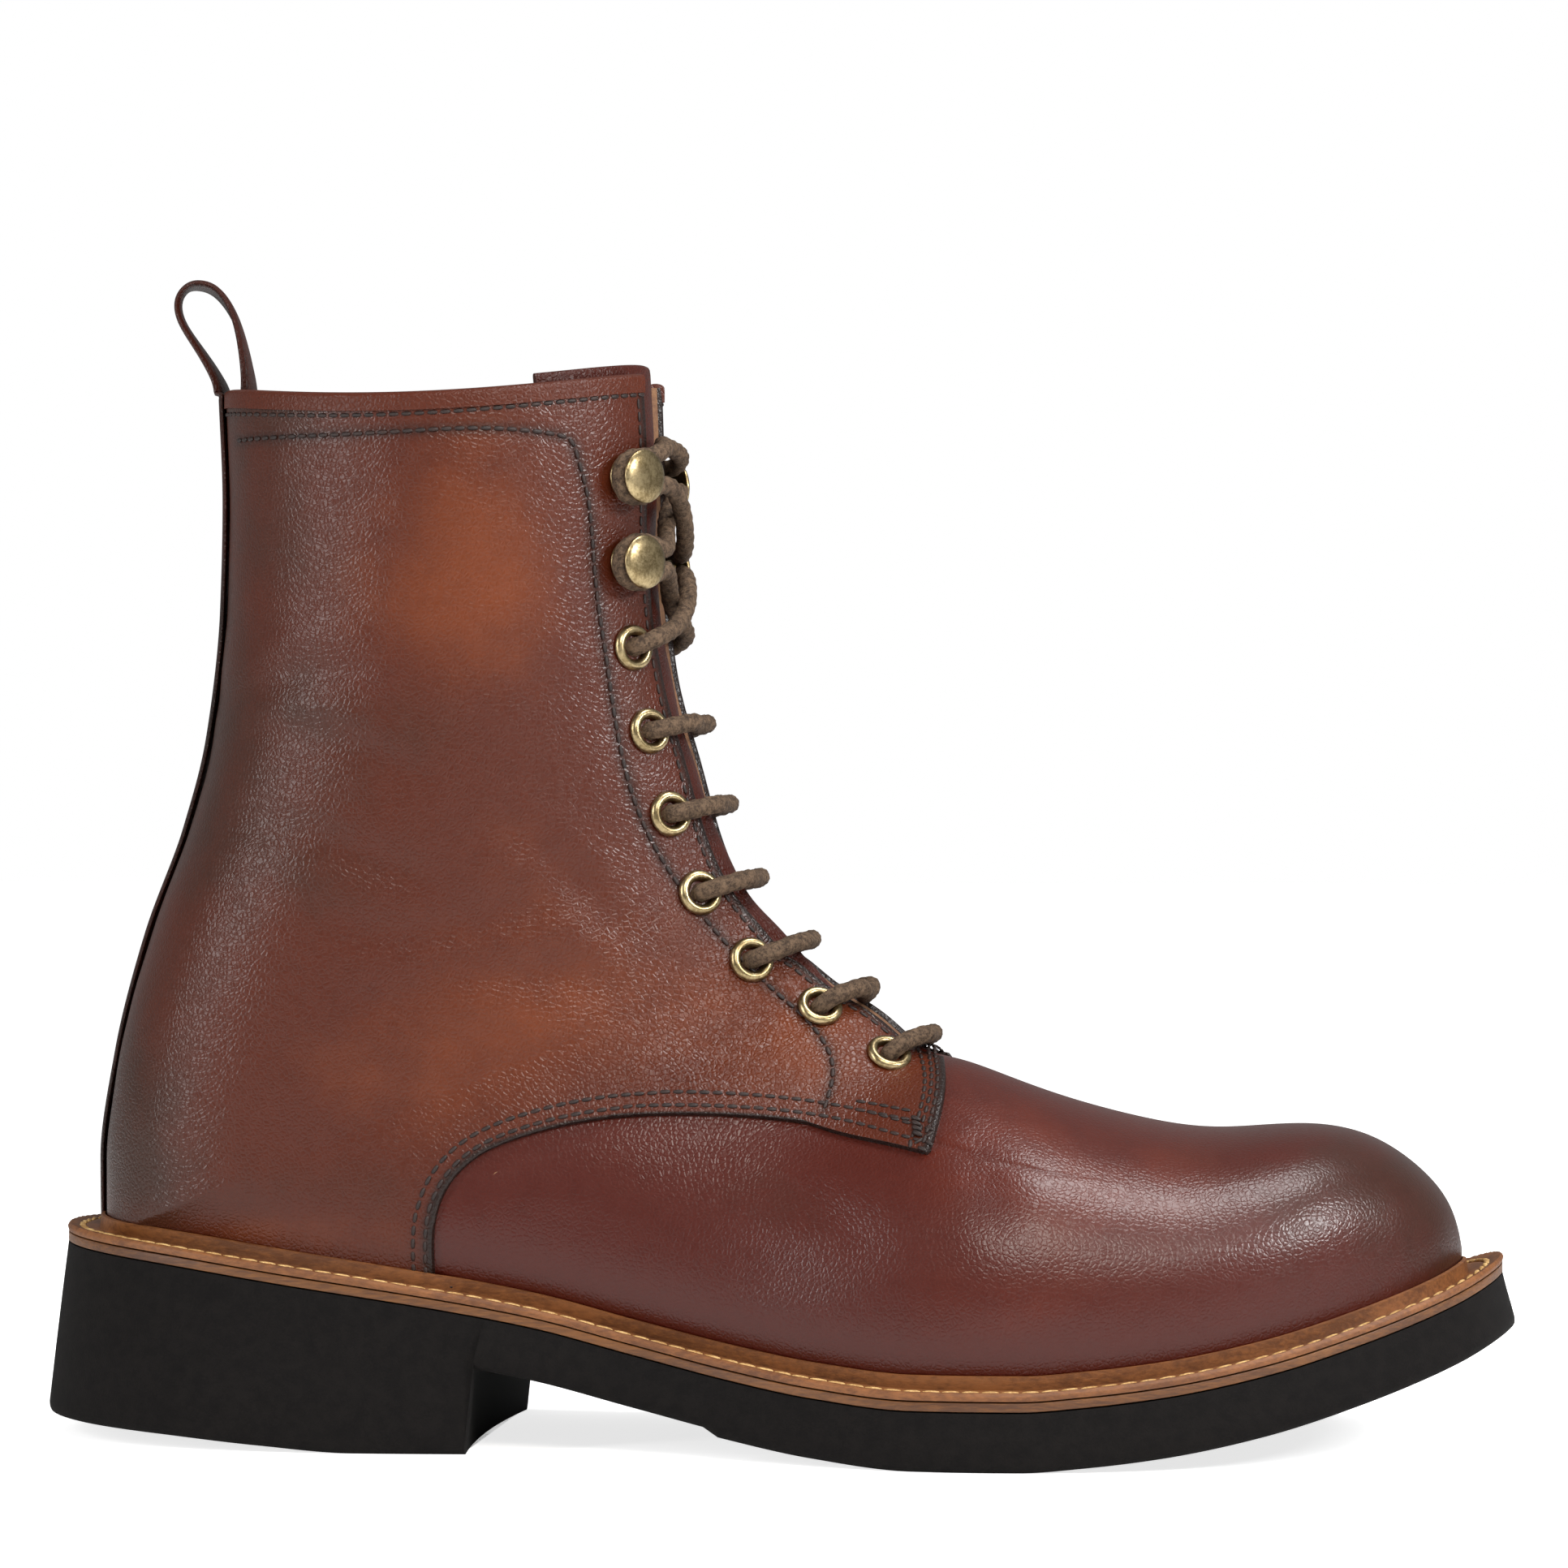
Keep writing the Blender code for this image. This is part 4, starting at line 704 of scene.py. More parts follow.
def relief(points):
    """Outward shift of the leather in metres: each crease is a soft trough with a ridge on each
    side, both fading at the ends, and slow waves of a few tenths of a millimetre lie over all."""
    x, z = side_view(points)
    y = points[..., 1] * 1000
    shift = SLOW_WAVE * np.sin(x / 17 + 1.3 * np.sin(z / 23) + y / 19) * np.sin(z / 14 + x / 31)
    shift += SHORT_WAVE * np.sin(x / 6.5 + z / 9 + 1.7 * np.sin(z / 13)) * np.sin(z / 7.3 - y / 12)
    for line, depth, width in CREASES:
        near = np.abs(x - line[:, 0].mean()) + np.abs(z - line[:, 1].mean()) < 75
        gap, share = np.full(x.shape, 99.0), np.zeros(x.shape)
        gap[near], share[near] = line_distance(x[near], z[near], line)
        fade = np.sin(pi * np.clip(share, 0, 1)) ** 0.7
        trough = np.exp(-(gap / width) ** 2)
        ridge = np.exp(-((gap - 2.1 * width) / (1.1 * width)) ** 2)
        shift += fade * depth * (0.45 * ridge - trough)
    rim = np.clip(-(z - 36 - 0.09 * np.abs(x - 90)) / 8, 0, 1)
    return shift * (1 - rim) / 1000


def tones(points):
    """Share of dark burnish and of light cognac on the calf, from listed soft spots."""
    x, z = side_view(points)
    burnish = np.zeros(x.shape)
    cognac = np.zeros(x.shape)
    for where_x, where_z, wide, high, dark, light in TONE_SPOTS:
        spot = np.exp(-((x - where_x) / wide) ** 2 - ((z - where_z) / high) ** 2)
        burnish += dark * spot
        cognac += light * spot
    coarse = np.exp(-((x - 148) / 26) ** 2 - ((z - 88) / 24) ** 2)
    return burnish, cognac, coarse


# Upper

def side_place(x, z, side):
    """Row and angle of the side-view points on the last, by Newton steps from the nearest of a
    coarse grid of rows and angles."""
    rows, shares = np.meshgrid(np.linspace(0, 23.5, 95), np.linspace(0.02, 0.98, 49), indexing="ij")
    angles = shares * (pi / 2 + foot_angle(rows))
    grid_x, grid_z = side_view(surface(rows, angles, side))
    gaps = (grid_x.ravel()[None] - x[:, None]) ** 2 + (grid_z.ravel()[None] - z[:, None]) ** 2
    near = np.argmin(gaps, axis=1)
    row, angle = rows.ravel()[near], angles.ravel()[near]
    step = 1e-3
    for _ in range(12):
        at_x, at_z = side_view(surface(row, angle, side))
        row_x, row_z = side_view(surface(row + step, angle, side))
        turn_x, turn_z = side_view(surface(row, angle + step, side))
        a, b = (row_x - at_x) / step, (turn_x - at_x) / step
        c, d = (row_z - at_z) / step, (turn_z - at_z) / step
        det = np.where(np.abs(a * d - b * c) < 1e-3, 1e-3, a * d - b * c)
        off_x, off_z = x - at_x, z - at_z
        row = np.clip(row + np.clip((d * off_x - b * off_z) / det, -0.4, 0.4), 0, TOE_ROW - 0.05)
        angle = np.clip(angle + np.clip((a * off_z - c * off_x) / det, -0.1, 0.1), 0.01,
                        pi / 2 + foot_angle(row))
    return row, angle


def leather(points, normals, low, high, round_sides, rounding=LEATHER_ROUNDING):
    """Outer and inner grid of a leather piece between two offsets from the last.

    The outer face falls by a quarter circle of the rounding within that distance of each free
    border: first row, last row, first column, last column.
    """
    down = np.linalg.norm(np.diff(points, axis=0), axis=2)
    over = np.linalg.norm(np.diff(points, axis=1), axis=2)
    runs = []
    for steps, axis in ((down, 0), (over, 1)):
        run = np.cumsum(steps, axis=axis)
        zero = np.zeros_like(np.take(run, [0], axis=axis))
        ahead = np.concatenate([zero, run], axis=axis)
        runs += [ahead, np.take(ahead, [-1], axis=axis) - ahead]
    border = np.full(points.shape[:2], 1.0)
    for free, run in zip(round_sides, runs):
        if free:
            border = np.minimum(border, run)
    lack = np.clip(rounding - border, 0, rounding)
    fall = rounding - np.sqrt(rounding ** 2 - lack ** 2)
    lift = relief(points)
    seam = SEAM_DEPTH * np.exp(-(band_gap(points) / SEAM_TROUGH) ** 2) * (high > 0)
    outer = points + normals * (high - fall - seam + lift)[..., None]
    inner = points + normals * (low + lift)[..., None]
    return outer, inner, border


def close_lines(values, first, last, tight=(0.0, 0.15, 0.4, 0.8)):
    """Shares from 0 to 1 with lines drawn close to the ends that are free borders."""
    shares = np.linspace(0, 1, values)
    pitch = shares[1]
    extra = pitch * np.array(tight[1:])
    return np.unique(np.concatenate([shares, extra * first, 1 - extra * last]))


def patch(rows, shares, start_angles, side):
    """Points and normals of the last at rows and at shares of the way round, from the start
    angle at 0 through the widest line at one half to the seam or the feather line at 1."""
    front = start_angles + (pi / 2 - start_angles) * np.clip(shares * 2, 0, 1)
    angles = front + np.clip(shares * 2 - 1, 0, 1) * foot_angle(rows)
    return surface(rows, angles, side), surface_normal(rows, angles, side)


def quarter_edge_rows(shares, side):
    """Row at which each share of the way round meets the quarters' front edge."""
    rows = np.linspace(SEAT_ROW, TAB_ROW + 1.6, 260)
    grid_rows, grid_shares = np.meshgrid(rows, shares, indexing="ij")
    gaps = throat_half(grid_rows)
    points, _ = patch(grid_rows, grid_shares, front_angle(grid_rows, gaps), side)
    x, z = side_view(points)
    outline = np.concatenate([QUARTER_EDGE, [[QUARTER_EDGE[-1, 0], 400], [-100, 400], [-100, -50],
                                             [QUARTER_EDGE[0, 0], -50]]])
    inside = np.zeros(x.shape, bool)
    for a, b in zip(outline, np.roll(outline, -1, axis=0)):
        crosses = (a[1] > z) != (b[1] > z)
        at = a[0] + (z - a[1]) / (b[1] - a[1] + 1e-12) * (b[0] - a[0])
        inside ^= crosses & (x < at)
    gap, _ = line_distance(x, z, outline)
    signed = np.where(inside, gap, -gap)
    edge = []
    for column_values in signed.T:
        last = np.max(np.nonzero(column_values > 0)[0], initial=0)
        last = min(last, len(rows) - 2)
        rest = column_values[last] / max(column_values[last] - column_values[last + 1], 1e-9)
        edge.append(rows[last] + np.clip(rest, 0, 1) * (rows[1] - rows[0]))
    return np.array(edge)


def band_gap(points):
    """Distance in millimetres, in the side view, from points to the band's stitched line."""
    x, z = side_view(points)
    gap = np.full(x.shape, 99.0)
    near = (x > BAND_LINE[:, 0].min() - 5) & (x < BAND_LINE[:, 0].max() + 5) & (z > 60) & (z < 212)
    gap[near], _ = line_distance(x[near], z[near], BAND_LINE)
    return gap


def leather_marks(points, border, edge_dark_and_seam_shade=1.0):
    """The marks that the calf's material reads, for both faces of a wall."""
    burnish, cognac, coarse = tones(points)
    edge = edge_dark_and_seam_shade * np.exp(-(border * 1000 / BORDER_MARK) ** 2)
    # Painted shade: the colour darkens along the band's stitched trough, carried in the edge mark beside the
    # free borders' dark edge
    edge = np.maximum(edge, PAINTED_SEAM_SHADE * np.exp(-(band_gap(points) / PAINTED_SHADE_REACH) ** 2) * (edge_dark_and_seam_shade == 1.0))
    marks = {"burnish": burnish, "cognac": cognac, "coarse": coarse, "edge": edge}
    return {name: np.concatenate([value.ravel()] * 2) for name, value in marks.items()}


def make_quarter(word, side):
    """One quarter, from the collar and the facing to its sweep over the vamp."""
    dense = np.linspace(0, 1, 420)
    dense_edge = quarter_edge_rows(dense, side)
    border, _ = patch(dense_edge, dense, front_angle(dense_edge, throat_half(dense_edge)), side)
    run = run_of(border)
    across = np.interp(close_lines(130, 1, 0), 0.5 * dense + 0.5 * run / run[-1], dense)
    edge = np.interp(across, dense, dense_edge)
    down = close_lines(190, 0, 1)
    rows = down[:, None] * edge[None]
    shares = np.broadcast_to(across, rows.shape)
    start = front_angle(rows, throat_half(rows))
    points, normals = patch(rows, shares, start, side)
    outer, inner, border = leather(points, normals, 0.0, QUARTER_STEP, (0, 1, 1, 0))
    walls, quads = shell(outer, inner)
    replaced = ["upper"] if side < 0 else []
    add_piece(f"quarter_{word}", walls, quads, MATERIALS["calf"], replaced,
              leather_marks(points, border))


def make_vamp():
    """Vamp and toe in one piece, from under the quarters and the throat's foot to the toe."""
    across = np.linspace(0, 1, 96)
    down = close_lines(150, 1, 0)
    halves = []
    for side in (-1, 1):
        reach = quarter_edge_rows(across, side) - 1.1
        first = np.minimum(reach, THROAT_ROW - 0.4)
        rows = first[None] + down[:, None] * (TOE_ROW - first[None])
        shares = np.broadcast_to(across, rows.shape)
        points, normals = patch(rows, shares, np.zeros(rows.shape), side)
        normals[:, 0, 1] = 0
        normals[-1, :, 1] = 0
        normals /= np.linalg.norm(normals, axis=-1, keepdims=True)
        halves.append((points, normals))
    points = np.concatenate([halves[0][0][:, :0:-1], halves[1][0]], axis=1)
    normals = np.concatenate([halves[0][1][:, :0:-1], halves[1][1]], axis=1)
    outer, inner, border = leather(points, normals, -WALL / 2, 0.0, (1, 0, 0, 0))
    walls, quads = shell(outer, inner)
    add_piece("vamp", walls, quads, MATERIALS["vamp"], (), leather_marks(points, border, 0.0))


def make_lining(word, side):
    """Lining of one half, from the collar to the toe, against the inside of the leather."""
    across = np.linspace(0, 1, 60)
    down = np.linspace(0, 1, 150)
    rows = np.broadcast_to(down[:, None] * (TOE_ROW - 0.2), (150, 60))
    shares = np.broadcast_to(across, rows.shape)
    half_gap = np.where(rows < THROAT_ROW, throat_half(rows), 0)
    points, normals = patch(rows, shares, front_angle(rows, half_gap), side)
    lift = relief(points)[..., None]
    outer = points + normals * (lift - LINING_GAP)
    inner = points + normals * (lift - WALL)
    behind = rows[:, 0] < THROAT_ROW - 0.4
    outer[~behind] = (points + normals * (lift - LINING_UNDER_VAMP))[~behind]
    walls, quads = shell(outer, inner)
    add_piece(f"lining_{word}", walls, quads, MATERIALS["lining"])


def collar_line(offset, ring):
    """Points and normals along a ring near the collar, from one facing's edge to the other, at an
    offset outwards from the last."""
    lines = []
    for side in (-1, 1):
        angles = np.linspace(float(front_angle(0, float(throat_half(0)))), pi, 150)
        row = np.full(angles.shape, ring)
        points, normals = surface(row, angles, side), surface_normal(row, angles, side)
        lines.append((points + normals * (offset + relief(points))[:, None], normals))
    return tuple(np.concatenate([lines[0][k], lines[1][k][-2::-1]]) for k in (0, 1))


def make_binding():
    """Folded binding over the collar: a narrow arch of leather carried round the rim, with both
    ends closed. Its section is half an ellipse that stands on both faces of the wall."""
    path, normals = collar_line((QUARTER_STEP - WALL) / 2, 0.0)
    half_width = (QUARTER_STEP + WALL) / 2 + 0.0004
    up = np.array([0.0, 0.0, 1.0])
    normals = normals - (normals @ up)[:, None] * up
    normals /= np.linalg.norm(normals, axis=1, keepdims=True)
    turn = np.linspace(0, pi, 13)
    across = np.concatenate([[half_width], half_width * np.cos(turn), [-half_width]])
    height = np.concatenate([[-0.0030], -0.0004 + 0.0013 * np.sin(turn) ** 0.7, [-0.0030]])
    loops = path[:, None] + across[None, :, None] * normals[:, None] + height[None, :, None] * up
    rows, columns = loops.shape[:2]
    quads = grid_quads(rows, columns, wrap_columns=True)
    ids = np.arange(rows * columns).reshape(rows, columns)
    half = columns // 2
    caps = [[ends[k], ends[k + 1], ends[columns - 2 - k], ends[columns - 1 - k]]
            for ends in (ids[0], ids[-1][::-1]) for k in range(half - 1)]
    quads = np.concatenate([quads, np.array(caps)])
    add_piece("collar_binding", loops, quads, MATERIALS["binding"])


# Stitches

def capsule(length, width, height, around=6, along=5):
    """Small grain-shaped stitch along X: an ellipsoid grid with collapsed ends."""
    t = np.linspace(0, pi, along + 2)
    turn = 2 * pi * np.arange(around) / around
    x = -np.cos(t)[:, None] * np.ones(around) * length / 2
    swell = np.sin(t)[:, None] ** 0.6
    y = swell * np.cos(turn) * width / 2
    z = swell * np.sin(turn) * height / 2
    return np.stack([x, y, z], axis=-1).reshape(-1, 3), grid_quads(along + 2, around, wrap_columns=True)


def stitch_row(path, normals, pitch, size, lean=0.0):
    """Stitches set along a path, each turned to it, as one array of points and one of quads."""
    run = run_of(path)
    count = max(int(run[-1] / pitch), 1)
    middle = (np.arange(count) + 0.5) * run[-1] / count
    at = np.stack([np.interp(middle, run, path[:, axis]) for axis in range(3)], axis=1)
    up = np.stack([np.interp(middle, run, normals[:, axis]) for axis in range(3)], axis=1)
    ahead = np.stack([np.interp(middle + pitch / 3, run, path[:, axis]) for axis in range(3)], axis=1)
    behind = np.stack([np.interp(middle - pitch / 3, run, path[:, axis]) for axis in range(3)], axis=1)
    along = ahead - behind
    along /= np.linalg.norm(along, axis=1, keepdims=True)
    up = up - np.sum(up * along, axis=1, keepdims=True) * along
    up /= np.linalg.norm(up, axis=1, keepdims=True)
    across = np.cross(up, along)
    along, across = (along * cos(lean) + across * sin(lean), across * cos(lean) - along * sin(lean))
    grain, quads = capsule(*size)
    turned_grain = np.einsum("pk,nkc->npc", grain, np.stack([along, across, up], axis=1))
    points = at[:, None] + turned_grain
    faces = quads[None] + (np.arange(count) * len(grain))[:, None, None]
    return points.reshape(-1, 3), faces.reshape(-1, 4)


def join_rows(parts):
    """One array of points and one of quads from several."""
    start, points, quads = 0, [], []
    for row_points, row_quads in parts:
        points.append(row_points)
        quads.append(row_quads + start)
        start += len(row_points)
    return np.concatenate(points), np.concatenate(quads)


def seam_on_side(line, side, lift, count=240):
    """Path and normals of a seam that a side-view line draws on the leather."""
    line = np.asarray(line, float)
    run = np.concatenate([[0], np.cumsum(np.hypot(*np.diff(line, axis=0).T))])
    even = np.linspace(0, run[-1], count)
    row, angle = side_place(np.interp(even, run, line[:, 0]), np.interp(even, run, line[:, 1]), side)
    points, normals = surface(row, angle, side), surface_normal(row, angle, side)
    return points + normals * (lift + relief(points))[:, None], normals


def beside(line, gap):
    """Side-view line moved to its left by a gap."""
    line = np.asarray(line, float)
    along = np.gradient(line, axis=0)
    along /= np.linalg.norm(along, axis=1, keepdims=True)
    return line + gap * np.stack([-along[:, 1], along[:, 0]], axis=1)


def facing_row(side, inset, first, last, lift):
    """Path and normals of a seam along the facing, at an inset from its edge."""
    distances = np.linspace(first, last, 120)
    rows, angles = facing_place(distances, inset, side)
    points, normals = surface(rows, angles, side), surface_normal(rows, angles, side)
    return points + normals * (lift + relief(points))[:, None], normals


def make_seams():
    """All dark thread of the upper in one mesh: collar, band, facings, sweep and tab."""
    parts = []
    face = QUARTER_STEP + THREAD_LIFT

    def sew(seam, pitch=STITCH_PITCH, size=STITCH, lean=0.0):
        parts.append(stitch_row(*seam, pitch, size, lean))

    for _, side in SIDES:
        for gap in SWEEP_ROWS:
            sew(seam_on_side(beside(QUARTER_EDGE[:-3], gap), side, face))
        sew(seam_on_side(BAND_LINE, side, face))
        sew(facing_row(side, *FACING_SEAM, face))
        sew(seam_on_side(TAB_EDGE, side, face, 40))
        for line in TAB_BARS:
            sew(seam_on_side(line, side, face, 30), STITCH_PITCH * 0.8)
        sew(seam_on_side(TAB_KNOT, side, face + KNOT_LIFT, 30), KNOT_PITCH, KNOT, KNOT_LEAN)
    sew(collar_line(face, RIM_SEAM_ROW))
    points, quads = join_rows(parts)
    add_piece("seam_thread", points, quads, MATERIALS["thread"], sharp=180)


# Back strap

def strap_strip(row, offset, across):
    """Points of the strap across one ring, offset outwards from the back seam's surface."""
    at = section(row)
    share = (np.abs(across) / at["half"]) ** (1 / at["back_power"])
    angles = pi / 2 + np.arccos(np.clip(share, 0, 1))
    inner, outer = surface_normal(row, angles, 1), surface_normal(row, angles, -1)
    normals = np.where((across > 0)[:, None], inner, outer)
    normals[:, 1] *= np.clip(np.abs(across) / (STRAP_WIDTH / 4), 0, 1)
    normals /= np.linalg.norm(normals, axis=1, keepdims=True)
    points = surface(row, angles, 1)
    points[:, 1] = at["middle"] + across
    return points + offset * normals


def make_back_strap():
    """Backstay and pull loop in one strip: rows up the back seam, round the loop and down inside,
    thickened evenly, with rounded long edges and a row of stitches along each."""
    across = np.linspace(-STRAP_WIDTH / 2, STRAP_WIDTH / 2, 17)
    outside = QUARTER_STEP + GAP + STRAP_THICKNESS / 2
    inside = -(WALL + TAIL_CLEARANCE + STRAP_THICKNESS / 2)
    low_row = float(np.interp(-(WELT_LIP * 0.85) / SHAFT_BACK, -seam_height(RING_ROWS), RING_ROWS))
    rows = [strap_strip(row, outside, across) for row in np.linspace(low_row, 0, 170)]
    outer, inner = rows[-1][8], strap_strip(0.0, inside, across)[8]
    leaf_gap = inner[0] - outer[0]
    ends = [(0.0, 0.0)] + list(LOOP_LINE) + [(1.0, 0.0)]
    run = np.arange(len(ends))
    place, height = natural_curve(run, column(ends, 0)), natural_curve(run, column(ends, 1))
    for t in np.linspace(0, run[-1], 90)[1:-1]:
        x, rise = outer[0] + leaf_gap * place(t), LOOP_HEIGHT * height(t)
        twist = LOOP_TWIST * min(max(rise / LOOP_HEIGHT, 0), 1)
        cup = 0.0006 * (2 * across / STRAP_WIDTH) ** 2
        rows.append(np.stack([x - sin(twist) * across - cup, SIDE_SHIFT + cos(twist) * across,
                              np.full(17, outer[2] + rise)], axis=1))
    tail_row = float(np.interp(LOOP_TAIL / SHAFT_BACK - 1, -seam_height(RING_ROWS), RING_ROWS))
    rows += [strap_strip(row, inside, across) for row in np.linspace(0, tail_row, 14)]
    sheet = np.array(rows)
    down, over = np.gradient(sheet, axis=0), np.gradient(sheet, axis=1)
    normal = np.cross(over, down)
    normal /= np.linalg.norm(normal, axis=-1, keepdims=True)
    if normal[20, 8, 0] > 0:
        normal = -normal
    thin = 1 - 0.75 * np.clip(np.abs(across) / (STRAP_WIDTH / 2) * 9 - 8, 0, 1) ** 2
    from_groove = np.abs(across) - STRAP_WIDTH / 2 + STRAP_GROOVE_INSET
    groove = -STRAP_GROOVE * np.exp(-(from_groove / STRAP_GROOVE_HALF) ** 2)
    half = (STRAP_THICKNESS / 2 * thin + groove)[None, :, None]
    walls, quads = shell(sheet + normal * half, sheet - normal * half)
    border = STRAP_WIDTH / 2 - np.broadcast_to(np.abs(across), sheet.shape[:2])
    marks = leather_marks(sheet, border, 0.2)
    add_piece("backstay", walls, quads, MATERIALS["strap"], ["back_strap"], marks)
    parts = []
    for j in (2, 14):
        path = sheet[:, j] + normal[:, j] * (STRAP_THICKNESS / 2 - STRAP_THREAD_SINK)
        parts.append(stitch_row(path, normal[:, j], STITCH_PITCH, STITCH))
    points, quads = join_rows(parts)
    add_piece("backstay_thread", points, quads, MATERIALS["thread"], sharp=180)


# Tongue

def make_tongue():
    """Tongue inside the facings, standing a little above the collar, with a rounded top edge."""
    rows = np.linspace(0, TONGUE_ROW, 150)
    halves = []
    for side in (-1, 1):
        share = np.clip(rows / THROAT_ROW, 0, 1)
        half = TONGUE_HALF_TOP + (TONGUE_HALF_LOW - TONGUE_HALF_TOP) * share
        half = np.minimum(half, section(rows)["half"] * 0.9)
        angles = front_angle(rows, half)[:, None] * np.linspace(0, 1, 26)[None]
        grid_rows = np.broadcast_to(rows[:, None], angles.shape)
        normals = surface_normal(grid_rows, angles, side)
        normals[:, 0, 1] = 0
        normals /= np.linalg.norm(normals, axis=-1, keepdims=True)
        under_vamp = np.interp(grid_rows, [WAIST_ROW, THROAT_ROW], [0, 2 * GAP])
        depth = WALL + TONGUE_CLEARANCE + under_vamp
        halves.append((surface(grid_rows, angles, side) - depth[..., None] * normals, normals))
    points = np.concatenate([halves[0][0][:, :0:-1], halves[1][0]], axis=1)
    normals = np.concatenate([halves[0][1][:, :0:-1], halves[1][1]], axis=1)
    rise = points[0] - points[1]
    rise /= np.linalg.norm(rise, axis=1, keepdims=True)
    steps = np.array([1.0, 0.93, 0.8, 0.5])[:, None, None] * TONGUE_RISE
    points = np.concatenate([points[0] + steps * rise, points])
    normals = np.concatenate([np.broadcast_to(normals[0], (4,) + normals[0].shape), normals])
    x, z = side_view(points)
    wave = 0.0003 * np.sin(z / 4.1 + points[..., 1] * 260) * np.sin(z / 11)
    thin = np.ones(points.shape[:2])
    thin[:4] = np.array([0.25, 0.7, 0.92, 1.0])[:, None]
    middle = points + normals * (wave * (z < 210) - TONGUE_THICKNESS / 2)[..., None]
    half = (TONGUE_THICKNESS / 2 * thin)[..., None]
    walls, quads = shell(middle + normals * half, middle - normals * half)
    marks = leather_marks(points, np.full(points.shape[:2], 1.0))
    add_piece("tongue_leather", walls, quads, MATERIALS["tongue"], ["tongue"], marks)


# Sole, midsole, insole and welt

def band_shares(count):
    """Shares from 0 to 1 that crowd towards both ends, as (1 - cos) / 2 does."""
    return (1 - np.cos(np.linspace(0, pi, count))) / 2


def heel_bottom(x):
    """Height of the heel's lower face, which is bevelled up towards the back."""
    return HEEL_BEVEL * heel_tread(x / SOLE_LENGTH + 0.5)


def sole_slices(shares, bottom):
    """Slices of one stretch of the outsole, one row each: the top's middle, one side, the tread
    and the other side.

    A side leans in a straight line with a sine bulge, then turns round a quarter circle, whose
    lower half is cut into teeth by a sine of the length. The slices at the breast are bowed
    forward by 1 - across ** 2.
    """
    across = np.linspace(-1, 1, TREAD_POINTS)
    breast = np.isclose(shares, HEEL_END) | np.isclose(shares, WAIST_START)
    low_x = ((shares - 0.5) * SOLE_LENGTH)[:, None] - BREAST_BOW * (1 - across ** 2) * breast[:, None]
    low_z = bottom(low_x)
    ends = [side_y(line, low_x[:, 0]) for line in TREAD_EDGE]
    top_x = WELT_EDGE[0][0, 0] + shares * (WELT_EDGE[0][-1, 0] - WELT_EDGE[0][0, 0])
    top_y = [side_y(line, top_x) for line in WELT_EDGE]
    high = sole_top(top_x)
    radius = np.minimum(EDGE_ROUND, (ends[1] - ends[0]) / 4 + 1e-6)
    tooth = TOOTH_HEIGHT * (0.5 + 0.5 * np.sin(shares * SOLE_LENGTH / TOOTH_PITCH * 2 * pi))
    down = np.array([0, 0.33, 0.66])
    corner = np.linspace(0, pi / 2, 6)
    cut = np.sin(corner) * (1 - np.sin(corner)) * 4
    sides = []
    for sign, y_top, y_low in ((-1, top_y[0], ends[0]), (1, top_y[1], ends[1])):
        foot = low_z[:, :1] + radius[:, None]
        wall = np.stack([
            top_x[:, None] + down * (low_x[:, :1] - top_x[:, None]),
            y_top[:, None] + down * (y_low - y_top)[:, None] + sign * SIDE_BULGE * np.sin(pi * down),
            high[:, None] + down * (foot - high[:, None])], axis=-1)
        bend = np.stack([
            low_x[:, :1] + 0 * corner,
            y_low[:, None] - sign * radius[:, None] * (1 - np.cos(corner)),
            low_z[:, :1] + radius[:, None] * (1 - np.sin(corner)) + tooth[:, None] * cut], axis=-1)
        sides.append(np.concatenate([wall, bend], axis=1))
    middle = np.stack([top_x, (top_y[0] + top_y[1]) / 2, high], axis=-1)[:, None]
    tread_y = np.linspace(ends[0] + radius, ends[1] - radius, TREAD_POINTS, axis=-1)
    tread = np.stack([low_x, tread_y, low_z], axis=-1)[:, 1:-1]
    return np.concatenate([middle, sides[0], tread, sides[1][:, ::-1]], axis=1)


def make_outsole():
    """Outsole lofted through the slices of its heel, waist and forefoot."""
    crowded = band_shares(120)[:60] * 2
    heel = np.concatenate([crowded * HEEL_ROUND, np.linspace(HEEL_ROUND, HEEL_END, 60)[1:]])
    waist = np.linspace(WAIST_START, WAIST_END, 50)
    fore = np.concatenate([np.linspace(FORE_START, 1 - TOE_ROUND, 120), 1 - crowded[-2::-1] * TOE_ROUND])
    loops = np.concatenate([
        sole_slices(heel, heel_bottom),
        sole_slices(waist, lambda x: sole_top(x) - WAIST_THICKNESS),
        sole_slices(fore, lambda x: sole_top(x) - SOLE_THICKNESS)])
    loops[..., 1] += SIDE_SHIFT
    quads = grid_quads(*loops.shape[:2], wrap_columns=True)
    add_piece("sole_unit", loops, quads, MATERIALS["foam"], ["outsole"], sharp=42)


def make_slab(name, edge, base, thickness, rounding, material, replaced):
    """Even layer inside an outline, bent along the sole's top, its edge rounded over by quarter
    circles above and below."""
    turn = np.linspace(0, pi / 2, 4)
    x = edge[0][0, 0] + band_shares(260) * (edge[0][-1, 0] - edge[0][0, 0])
    left, right = (side_y(line, x)[:, None] + SIDE_SHIFT for line in edge)
    radius = np.minimum(rounding, (right - left) / 4 + 1e-6)
    low = base(x)[:, None]
    high = low + thickness
    near, fall = radius * (1 - np.cos(turn)), radius * (1 - np.sin(turn))
    left_y = left + np.concatenate([near[:, ::-1], near], axis=1)
    left_z = np.concatenate([low + fall[:, ::-1], high - fall], axis=1)
    middle = (left + right) / 2
    y = np.concatenate([left_y, middle, (left + right - left_y)[:, ::-1], middle], axis=1)
    z = np.concatenate([left_z, high, left_z[:, ::-1], low], axis=1)
    loops = np.stack([np.broadcast_to(x[:, None], y.shape), y, z], axis=-1)
    quads = grid_quads(*loops.shape[:2], wrap_columns=True)
    add_piece(name, loops, quads, MATERIALS[material], replaced)


